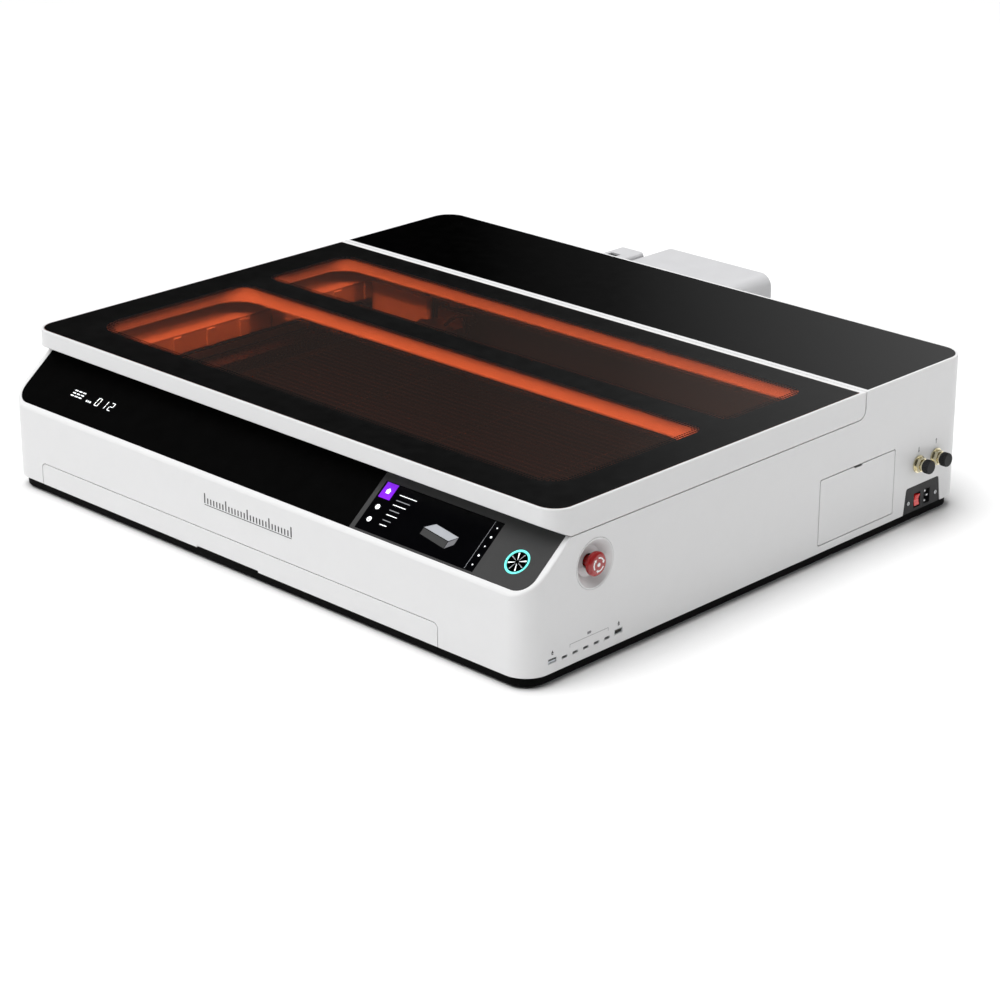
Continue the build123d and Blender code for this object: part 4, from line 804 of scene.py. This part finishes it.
# ------------------------------------------------------------------ right-hand side
@dataclass
class RightSide:
    """Everything on the right-hand wall: stop button, data ports, couplings and mains inlet."""

    stop: tuple[float, float] = (117.2, 136.5)
    knob_r: float = 15.5
    ports: tuple[float, ...] = tuple(65.2 + 18.78 * i for i in range(5))
    wide_ports: tuple[tuple[float, float], ...] = ((43.7, 33.5), (161.1, 34.0))
    port_z: float = 31.5
    couplings: tuple[float, float] = (765.0, 804.0)
    coupling_z: float = 85.5
    inlet_z: float = 32.3
    socket_d: float = 790.0
    switch_d: float = 767.8
    screws: tuple[float, float] = (747.4, 808.6)

    def build(self) -> None:
        """Builds and dresses the right-hand wall."""
        self.stop_button()
        self.data_ports()
        self.coolant_couplings()
        self.mains_inlet()

    def stop_button(self) -> None:
        """White dish, red mushroom knob and its printed turning arrows."""
        rounded_copy("estop_bezel", WHITE, 0.5, 3)
        rounded_copy("estop_knob", RED_KNOB, 0.9, 3)
        depth, z = self.stop
        cap = (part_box("estop_knob")[1].x - RIGHT_X) / MM
        bm = bmesh.new()
        for i in range(3):
            start = 20.0 + 120.0 * i
            SIDE.band(bm, depth, z, (7.6, 9.4), cap + 0.1, (start, start + 74.0), cap - 0.2, 14)
            tip, back = math.radians(start - 22.0), math.radians(start)
            points = [(10.9 * math.cos(back), 10.9 * math.sin(back)), (6.1 * math.cos(back), 6.1 * math.sin(back)),
                      (8.5 * math.cos(tip), 8.5 * math.sin(tip))]
            SIDE.blade(bm, [(depth + a, z + b) for a, b in points], cap + 0.1, cap - 0.2)
        settle("stop_arrows", bm, WHITE_INK, "stop_knob")
        hub = bmesh.new()
        SIDE.disc(hub, depth, z, 3.2, cap + 0.5, cap - 0.4, 28, 2.2)
        settle("stop_centre", hub, ALUMINIUM, "stop_knob")

    def data_ports(self) -> None:
        """Tongues and contacts inside the ports, and the printed marks over them."""
        tongues = bmesh.new()
        for d in self.ports:
            SIDE.bar(tongues, (d - 3.3, d + 3.3), (self.port_z - 0.35, self.port_z + 0.35), -1.6, -13.0)
        (d0, z0), (d1, z1) = self.wide_ports
        SIDE.bar(tongues, (d1 - 6.0, d1 + 6.0), (z1 - 1.9, z1 - 0.1), -1.4, -13.0)
        settle("port_tongues", tongues, MATT_BLACK, "cabinet")
        pale = bmesh.new()
        SIDE.bar(pale, (d0 - 6.0, d0 + 6.0), (z0 - 1.9, z0 - 0.1), -1.0, -13.0)
        settle("pale_port_tongue", pale, PORT_LIGHT, "cabinet")
        contacts = bmesh.new()
        for d, z in self.wide_ports:
            for i in range(4):
                x = d - 4.2 + 2.8 * i
                SIDE.bar(contacts, (x - 0.6, x + 0.6), (z - 0.1, z + 0.15), -1.8, -9.0)
        settle("port_contacts", contacts, NICKEL_BRASS, "cabinet")
        marks = bmesh.new()
        for d, z in self.wide_ports:
            SIDE.blade(marks, [(d - 2.2, z + 9.6), (d + 2.2, z + 9.6), (d, z + 13.6)], 0.1)
            SIDE.bar(marks, (d - 1.5, d + 1.5), (z + 7.6, z + 9.0), 0.1)
        settle("port_marks", marks, BLACK_PRINT_AND_SLOT_SHADE, "cabinet")
        bracket = bmesh.new()
        first, last = self.ports[0] + 9.0, self.ports[-1] + 2.0
        middle = (first + last) / 2
        SIDE.bar(bracket, (first, last), (44.4, 44.9), 0.06)
        for x in (first, last):
            SIDE.bar(bracket, (x - 0.25, x + 0.25), (40.6, 44.9), 0.06)
        SIDE.bar(bracket, (middle - 3.4, middle + 2.6), (47.8, 51.2), 0.1)
        SIDE.bar(bracket, (middle + 2.6, middle + 3.6), (48.8, 50.2), 0.1)
        settle("port_bracket_print", bracket, GREY_INK, "cabinet")

    def coolant_couplings(self) -> None:
        """Nickelled couplings with ringed noses, ribbed black caps and a small arrow over each."""
        rounded_copy("coupling_bodies", NICKEL_BRASS, 0.35)
        rings = bmesh.new()
        marks = bmesh.new()
        for i, d in enumerate(self.couplings):
            SIDE.band(rings, d, self.coupling_z, (6.9, 7.9), 11.4, low=9.4)
            SIDE.band(rings, d, self.coupling_z, (11.9, 12.4), 2.0, low=0.7)
            z = self.coupling_z + 19.0
            SIDE.bar(marks, (d - 0.7, d + 0.7), (z, z + 5.0), 0.1)
            up = z + 5.0 if i else z
            way = 3.0 if i else -3.0
            points = [(d - 2.0, up), (d + 2.0, up), (d, up + way)]
            SIDE.blade(marks, points if i else points[::-1], 0.1)
        settle("coupling_rings", rings, NICKEL_BRASS, "cabinet")
        settle("coupling_marks", marks, GREY_INK, "cabinet")
        for end, d in zip(("front", "rear"), self.couplings):
            node = f"coupling_cap_{end}"
            rounded_copy(node, RUBBER, 0.8, 3)
            ribs = bmesh.new()
            for i in range(24):
                a = math.radians(i * 15.0)
                x, z = d + 9.2 * math.cos(a), self.coupling_z + 9.2 * math.sin(a)
                SIDE.disc(ribs, x, z, 0.55, 20.6, 13.0, 8)
            settle(f"{node}_ribs", ribs, RUBBER, body_of_node(node))

    def mains_inlet(self) -> None:
        """Black plate with the appliance socket, its pins, the red rocker and two screws, whose cross slots are painted
        shade.
        """
        rounded_copy("inlet_plate", MATT_BLACK, 0.3)
        rounded_copy("rocker_switch", RED_ROCKER, 0.5, 3)
        rounded_copy("inlet_screws", ALUMINIUM, 0.4, 2)
        pins = bmesh.new()
        for d, z in ((-2.6, 7.0), (2.6, 0.0), (-2.6, -7.0)):
            at = self.socket_d + d
            SIDE.bar(pins, (at - 2.1, at + 2.1), (self.inlet_z + z - 1.1, self.inlet_z + z + 1.1), -2.3, -17.4)
        settle("socket_pins", pins, ALUMINIUM, "cabinet")
        # Dark cross bars laid on the screw heads: painted shade standing in for the shade inside their cross slots.
        painted_slot_shade = bmesh.new()
        for d in self.screws:
            SIDE.bar(painted_slot_shade, (d - 1.6, d + 1.6), (self.inlet_z - 0.3, self.inlet_z + 0.3), 0.66, 0.2)
            SIDE.bar(painted_slot_shade, (d - 0.3, d + 0.3), (self.inlet_z - 1.6, self.inlet_z + 1.6), 0.66, 0.2)
        settle("screw_slots_painted_shade", painted_slot_shade, BLACK_PRINT_AND_SLOT_SHADE, "cabinet")


# ------------------------------------------------------------------ lid
@dataclass
class Lid:
    """White lid frame, tinted glass and the printed border with its comb edge."""

    half_w: float = 440.0
    windows: tuple[tuple[float, float], ...] = ((109.0, 388.0), (428.0, 589.0))
    corner_r: tuple[tuple[float, float], ...] = ((44.0, 20.0), (18.0, 22.0))
    border_z: tuple[float, float] = (-0.3, 0.03)
    dot_pitch: float = 4.8
    dot_r: tuple[float, float] = (2.15, 1.3)
    dot_reach: float = 11.0
    openings: tuple[tuple[float, float], ...] = ((100.0, 371.7), (440.0, 580.0))
    opening_r: tuple[float, float] = (45.0, 38.0)
    opening_half_w: float = 437.0
    bezel_z: tuple[float, float] = (204.1, 215.8)
    bezel_wall: float = 1.2

    def build(self) -> None:
        """Builds and dresses the lid."""
        rounded_copy("lid_frame", WHITE, 1.0, 3)
        rounded_copy("lid_glass", LID_GLASS, 0.35, 2)
        self.liner()
        self.bezels()
        self.border()
        self.dots()

    def liner(self) -> None:
        """Lid liner, whose collars are taken down to make room for the sloping bezels."""
        bm = copy_of("lid_liner")
        deep = (self.openings[0][0] - 5.0, self.openings[1][1] + 5.0)
        for vert in bm.verts:
            depth = (vert.co.y - FRONT_Y) / MM
            if deep[0] < depth < deep[1] and abs(vert.co.x) < (self.opening_half_w + 5.0) * MM:
                vert.co.z = min(vert.co.z, self.bezel_z[0] * MM + 0.0001)
        settle("lid_liner_shown", bm, WHITE_LINER, "lid", ["lid_liner"])

    def bezels(self) -> None:
        """Sloping bezels that widen from the liner's openings up to the printed windows."""
        bm = bmesh.new()
        low, high = self.bezel_z
        for (near, far), (near_in, far_in), radius in zip(self.windows, self.openings, self.opening_r):
            upper = (min(near + 7.0, near_in - 6.0), far + 7.0, self.half_w + 7.0, high)
            lower = (near_in, far_in, self.opening_half_w, low)
            rings = []
            for grow, (first, last, half, z) in ((0, lower), (0, upper), (1, upper), (1, lower)):
                out = grow * self.bezel_wall
                rings.append([bm.verts.new(p) for p in self.ring((first - out, last + out), half + out, z, radius)])
            for ring, following in zip(rings, rings[1:] + rings[:1]):
                for i, vert in enumerate(ring):
                    bm.faces.new((ring[i - 1], vert, following[i], following[i - 1]))
        bmesh.ops.recalc_face_normals(bm, faces=bm.faces)
        settle("window_bezels", bm, BEZEL_WHITE, "lid")

    def ring(self, depths: tuple[float, float], half: float, z: float, radius: float) -> list[Vector]:
        """Corners of a level rounded rectangle, centred across the lid.

        Args:
            depths: depth of its near and far edge, in millimetres.
            half: half its width.
            z: its height.
            radius: radius of its corners.

        Returns:
            Its points in turn, in metres.
        """
        near, far = depths
        points = []
        for quarter, (sx, d) in enumerate(((1, far - radius), (-1, far - radius), (-1, near + radius),
                                           (1, near + radius))):
            for step in range(11):
                a = math.radians(90.0 * quarter + 9.0 * step)
                x = sx * (half - radius) + radius * math.cos(a)
                points.append(Vector((x, d + radius * math.sin(a), z)) * MM + Vector((0, FRONT_Y, 0)))
        return points

    def border(self) -> None:
        """Black print round the two windows, let into the face of the glass."""
        bm = bmesh.new()
        inset = 0.0005
        z = GLASS_HIGH.z + self.border_z[0] * MM
        outline(bm, (GLASS_LOW.x + inset, GLASS_LOW.y + inset), (GLASS_HIGH.x - inset, GLASS_HIGH.y - inset), z,
                0.0268, 0.002)
        for (near, far), (front_r, back_r) in zip(self.windows, self.corner_r):
            outline(bm, (-self.half_w * MM, FRONT_Y + near * MM), (self.half_w * MM, FRONT_Y + far * MM), z,
                    front_r * MM, back_r * MM)
        bmesh.ops.triangle_fill(bm, use_beauty=True, use_dissolve=False, edges=bm.edges[:], normal=(0, 0, 1))
        bmesh.ops.recalc_face_normals(bm, faces=bm.faces)
        rise(bm, bm.faces[:], (self.border_z[1] - self.border_z[0]) * MM)
        settle("glass_border", bm, INK, "lid")

    def dots(self) -> None:
        """Printed dots that shrink from the border into each window."""
        bm = bmesh.new()
        face = Panel(Matrix.Translation((0, FRONT_Y, GLASS_HIGH.z)))
        low, high = self.border_z
        for (near, far), radii in zip(self.windows, self.corner_r):
            across = int(self.half_w / self.dot_pitch)
            along = int((far - near) / self.dot_pitch)
            for i in range(-across, across + 1):
                for j in range(along + 1):
                    x, d = i * self.dot_pitch, near + (j + 0.5) * self.dot_pitch
                    inside = self.inside(x, d, (near, far), radii)
                    if not 0.3 < inside < self.dot_reach:
                        continue
                    share = inside / self.dot_reach
                    radius = self.dot_r[0] + (self.dot_r[1] - self.dot_r[0]) * share
                    face.disc(bm, x, d, radius, high, low, 8)
        settle("glass_border_dots", bm, INK, "lid")

    def inside(self, x: float, d: float, window: tuple[float, float], radii: tuple[float, float]) -> float:
        """How far a point lies inside a window's rounded outline.

        Args:
            x: its place across the lid, in millimetres.
            d: its depth.
            window: depth of the window's near and far edge.
            radii: radius of its near and of its far corners.

        Returns:
            The distance to the outline, negative outside it.
        """
        near, far = window
        radius = radii[0] if d < (near + far) / 2 else radii[1]
        side = self.half_w - abs(x)
        end = min(d - near, far - d)
        if side < radius and end < radius:
            return radius - math.hypot(radius - side, radius - end)
        return min(side, end)


# ------------------------------------------------------------------ chamber and motion
@dataclass
class Chamber:
    """What shows through the windows: walls, bed, mirror cover, gantry fittings and the head."""

    links: int = 34
    link_pitch: float = 11.0
    chain_x: float = -398.0
    knob_r: float = 14.0
    knob_teeth: int = 22

    def build(self) -> None:
        """Builds and dresses the work chamber."""
        self.walls()
        rounded_copy("mirror_cover", WHITE_LINER, 0.8)
        rounded_copy("head_body", ANODISED, 0.5)
        self.cable_chain()
        self.head_fittings()
        self.slat_screws()

    def walls(self) -> None:
        """White side walls with their pillars, and the dark front and rear walls."""
        bm = copy_of("chamber_walls")
        low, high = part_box("chamber_walls")
        for face in bm.faces:
            y = face.calc_center_median().y
            face.material_index = 1 if y > high.y - 0.0025 or y < low.y + 0.0025 else 0
        settle("chamber_walls_shown", bm, (WHITE_LINER, MATT_BLACK), "cabinet", ["chamber_walls"])

    def cable_chain(self) -> None:
        """Row of cable-carrier links that lies along the front of the gantry beam."""
        bm = bmesh.new()
        low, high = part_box("gantry_beam")
        y1 = low.y - 0.001
        for i in range(self.links):
            x = (self.chain_x + i * self.link_pitch) * MM
            brick(bm, (x, y1 - 0.016, high.z - 0.018), (x + 0.0092, y1, high.z - 0.004))
        x0 = self.chain_x * MM
        brick(bm, (x0, y1 - 0.013, high.z - 0.016), (x0 + self.links * self.link_pitch * MM, y1 - 0.003, high.z - 0.006))
        settle("cable_chain", bm, MATT_BLACK, "gantry")
        knob = bmesh.new()
        rod(knob, Axis.Z, (x0 + 0.03, y1 - 0.008, high.z + 0.001), 0.006, 0.010, 0.0045, 24)
        settle("chain_knob", knob, ALUMINIUM, "gantry")

    def head_fittings(self) -> None:
        """Toothed focus knob, mirror screws, clamp plate and air nozzle of the head."""
        low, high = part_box("lens_tube")
        x, y = (low.x + high.x) / 2, (low.y + high.y) / 2
        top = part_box("head_body")[1].z
        knob = bmesh.new()
        rod(knob, Axis.Z, (x, y, top + 0.002), (self.knob_r - 1) * MM, 0.008)
        for i in range(self.knob_teeth):
            a = 2 * math.pi * i / self.knob_teeth
            r = self.knob_r * MM
            rod(knob, Axis.Z, (x + r * math.cos(a), y + r * math.sin(a), top + 0.002), 0.0017, 0.008, steps=8)
        settle("focus_knob", knob, ALUMINIUM, "head")
        inner = bmesh.new()
        rod(inner, Axis.Z, (x, y, top + 0.0064), 0.008, 0.0012, 0.0074)
        settle("focus_knob_disc", inner, MATT_BLACK, "head")
        screws = bmesh.new()
        body_low, body_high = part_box("head_body")
        for dx in (-0.019, -0.013):
            for dy in (0.004, 0.018):
                rod(screws, Axis.Z, (x + dx, body_low.y + dy, 0.1795), 0.0022, 0.003, steps=16)
        for dz in (-0.006, 0.006):
            rod(screws, Axis.Y, (x, body_low.y - 0.0005, 0.170 + dz), 0.003, 0.0016, steps=20)
        settle("head_screws", screws, STEEL, "head")
        saddle_low, saddle_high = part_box("carriage")
        clamp = bmesh.new()
        for side in (-1, 1):
            middle = (saddle_low.x + saddle_high.x) / 2 + side * 0.025
            brick(clamp, (middle - 0.005, saddle_low.y + 0.003, 0.1682), (middle + 0.005, saddle_low.y + 0.022, 0.1712))
            rod(clamp, Axis.Z, (middle, saddle_low.y + 0.012, 0.1722), 0.0035, 0.003, steps=6)
        settle("carriage_clamps", clamp, ALUMINIUM, "head")
        hose = bpy.data.curves.new("air_hose_line", "CURVE")
        hose.dimensions = "3D"
        hose.bevel_depth = 0.0025
        hose.bevel_resolution = 4
        spline = hose.splines.new("NURBS")
        route = ((0.032, 0.0, 0.172), (0.040, -0.002, 0.174), (0.044, -0.014, 0.184), (0.034, -0.028, 0.188),
                 (0.018, -0.036, 0.180), (0.012, -0.040, 0.170))
        spline.points.add(len(route) - 1)
        for point, (dx, dy, z) in zip(spline.points, route):
            point.co = (x + dx - 0.004, y + dy, z, 1.0)
        spline.order_u = 3
        spline.use_endpoint_u = True
        shown = bpy.data.objects.new("air_hose_source", hose)
        bpy.context.scene.collection.objects.link(shown)
        mesh = bpy.data.meshes.new_from_object(shown.evaluated_get(bpy.context.evaluated_depsgraph_get()))
        bpy.data.objects.remove(shown)
        bm = bmesh.new()
        bm.from_mesh(mesh)
        bpy.data.meshes.remove(mesh)
        bmesh.ops.remove_doubles(bm, verts=bm.verts, dist=WELD)
        bmesh.ops.recalc_face_normals(bm, faces=bm.faces)
        settle("air_hose", bm, MATT_BLACK, "head")

    def slat_screws(self) -> None:
        """Round screws along the right and rear rim of the bed."""
        low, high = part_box("bed_frame")
        bm = bmesh.new()
        for i in range(7):
            x = high.x - 0.030 - i * 0.127
            for y in (high.y - 0.003, low.y + 0.003):
                rod(bm, Axis.Z, (x, y, high.z + 0.0008), 0.0022, 0.002, steps=16)
        settle("bed_screws", bm, STEEL, "cabinet")


@dataclass
class RearFilter:
    """Fume-filter housing on the back with its plug block."""

    def build(self) -> None:
        """Builds and dresses the filter."""
        rounded_copy("filter_housing", GREY_WHITE, 0.9, 3)
        low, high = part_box("filter_housing")
        bm = bmesh.new()
        x, y = low.x + 0.025, low.y + 0.040
        brick(bm, (x - 0.0085, y - 0.0095, high.z - 0.0078), (x + 0.0085, y + 0.0095, high.z - 0.003))
        settle("filter_plug_socket", bm, MATT_BLACK, "cabinet")
        latch = bmesh.new()
        right = high.x
        for z in (0.085, 0.165):
            brick(latch, (right, low.y + 0.020, z - 0.012), (right + 0.0016, low.y + 0.036, z + 0.012))
        soften(latch, crisp_edges(latch), 0.0007, 2)
        settle("filter_latches", latch, GREY_WHITE, "cabinet")


# ------------------------------------------------------------------ studio
@dataclass
class Studio:
    """Pale floor, soft lights, sky and camera."""

    eye: tuple[float, float, float] = (2.5585, -2.5979, 1.4399)
    target: tuple[float, float, float] = (0.0342, 0.0, -0.002)
    lens: float = 100.9
    sky: tuple[tuple[float, float], ...] = ((0.0, 0.0), (0.055, 0.038), (0.123, 0.20), (0.2, 0.42), (0.5, 0.22), (1.0, 0.2))

    def build(self) -> None:
        """Makes the studio round the machine."""
        self.floor()
        self.world()
        self.daylight()
        self.light("top_softbox", (-0.6, 0.8, 3.0), (0, 0, 0), 2.4, 40.0)
        self.light("front_softbox", (-1.6, -4.2, 1.5), (0, 0, 0.1), 2.4, 20.0)
        self.light("side_softbox", (2.8, 2.1, 0.9), (0.5, 0.2, 0.1), 1.2, 13.0)
        self.beam("front_beam", (0.0, -0.62, 0.74), 1.1)
        self.beam("right_beam", (0.62, 0.0, 0.74), 1.3)
        self.camera()

    def floor(self) -> None:
        """Wide pale floor under the machine."""
        bm = bmesh.new()
        bmesh.ops.create_grid(bm, x_segments=1, y_segments=1, size=30.0)
        mesh = bpy.data.meshes.new("floor")
        bm.to_mesh(mesh)
        bm.free()
        mesh.materials.append(WHITE_MATT.material())
        floor = bpy.data.objects.new("floor", mesh)
        bpy.context.scene.collection.objects.link(floor)

    def world(self) -> None:
        """Pale sky that darkens towards the back left, which the black glass reflects."""
        world = bpy.data.worlds.new("studio_sky")
        world.use_nodes = True
        tree = world.node_tree
        place = tree.nodes.new("ShaderNodeTexCoord")
        across = tree.nodes.new("ShaderNodeVectorMath")
        across.operation = "DOT_PRODUCT"
        across.inputs[1].default_value = (0.707, 0.707, 0.0)
        ramp = tree.nodes.new("ShaderNodeValToRGB")
        stops = ramp.color_ramp.elements
        while len(stops) < len(self.sky):
            stops.new(1.0)
        for stop, (at, bright) in zip(stops, self.sky):
            stop.position = at
            stop.color = (bright, bright, bright, 1.0)
        sky = tree.nodes["Background"]
        tree.links.new(place.outputs["Generated"], across.inputs[0])
        tree.links.new(across.outputs["Value"], ramp.inputs["Fac"])
        tree.links.new(ramp.outputs["Color"], sky.inputs["Color"])
        bpy.context.scene.world = world

    def daylight(self) -> None:
        """Broad even light from the front left, high up, that keeps the floor pale to its edges."""
        data = bpy.data.lights.new("broad_daylight", "SUN")
        data.energy = 3.5
        data.angle = math.radians(55.0)
        lamp = bpy.data.objects.new("broad_daylight", data)
        lamp.rotation_euler = Vector((0.10, 0.42, -1.0)).to_track_quat("-Z", "Y").to_euler()
        lamp.visible_glossy = False
        bpy.context.scene.collection.objects.link(lamp)

    def light(self, name: str, at: Sequence[float], aim: Sequence[float], size: float, power: float) -> None:
        """Adds a square soft light.

        Args:
            name: name of the light.
            at: its place, in metres.
            aim: the point it looks at.
            size: its side.
            power: its power in watts.
        """
        data = bpy.data.lights.new(name, "AREA")
        data.size = size
        data.energy = power
        lamp = bpy.data.objects.new(name, data)
        lamp.location = at
        lamp.rotation_euler = (Vector(aim) - Vector(at)).to_track_quat("-Z", "Y").to_euler()
        lamp.visible_glossy = at[2] < 2.0
        bpy.context.scene.collection.objects.link(lamp)

    def beam(self, name: str, way: Sequence[float], strength: float) -> None:
        """Adds a narrow bright light that falls only on the glass, so the chamber behind it is lit.

        Args:
            name: name of the light.
            way: direction from the glass to the light, level in X or in Y.
            strength: its power in watts for each square metre of its beam.
        """
        to_light = Vector(way).normalized()
        wide, deep = 0.880, 0.480
        middle = Vector((0.0, FRONT_Y + 0.349, GLASS_HIGH.z))
        data = bpy.data.lights.new(name, "AREA")
        data.shape = "RECTANGLE"
        data.size = wide * (to_light.z if abs(way[0]) > abs(way[1]) else 1.0)
        data.size_y = deep * (to_light.z if abs(way[1]) > abs(way[0]) else 1.0)
        data.spread = math.radians(3.0)
        data.energy = strength * data.size * data.size_y
        lamp = bpy.data.objects.new(name, data)
        across = Vector((1, 0, 0)) if abs(way[1]) > abs(way[0]) else Vector((0, 1, 0)).cross(to_light).normalized()
        up = to_light.cross(across)
        turn = Matrix((across, up, to_light)).transposed().to_4x4()
        lamp.matrix_world = Matrix.Translation(middle + to_light * 0.8) @ turn
        lamp.visible_camera = False
        lamp.visible_glossy = False
        bpy.context.scene.collection.objects.link(lamp)

    def camera(self) -> None:
        """Camera at the front right, a little above the machine."""
        data = bpy.data.cameras.new("camera")
        data.lens = self.lens
        data.sensor_width = 36.0
        camera = bpy.data.objects.new("camera", data)
        camera.location = self.eye
        look = Vector(self.target) - Vector(self.eye)
        camera.rotation_euler = look.to_track_quat("-Z", "Y").to_euler()
        bpy.context.scene.collection.objects.link(camera)
        bpy.context.scene.camera = camera
        bpy.context.scene.view_settings.view_transform = "Standard"


def dress_cad_nodes() -> None:
    """Gives every CAD node that is still shown its own finish."""
    for node, finish in CAD_FINISHES.items():
        shape = frame["nodes"][node]
        for holder in shape.material_slots:
            holder.material = finish.material()
        LOG.info("%s: CAD node dressed as %s", node, finish.title)


def main() -> None:
    """Builds every sub-assembly in order, then the studio round it."""
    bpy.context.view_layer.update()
    dress_cad_nodes()
    for part in (Casing(), FrontPanel(), RightSide(), Lid(), Chamber(), RearFilter()):
        LOG.info("building %s", type(part).__name__)
        part.build()
    Studio().build()
    bpy.context.view_layer.update()


if __name__ == "__main__":
    main()
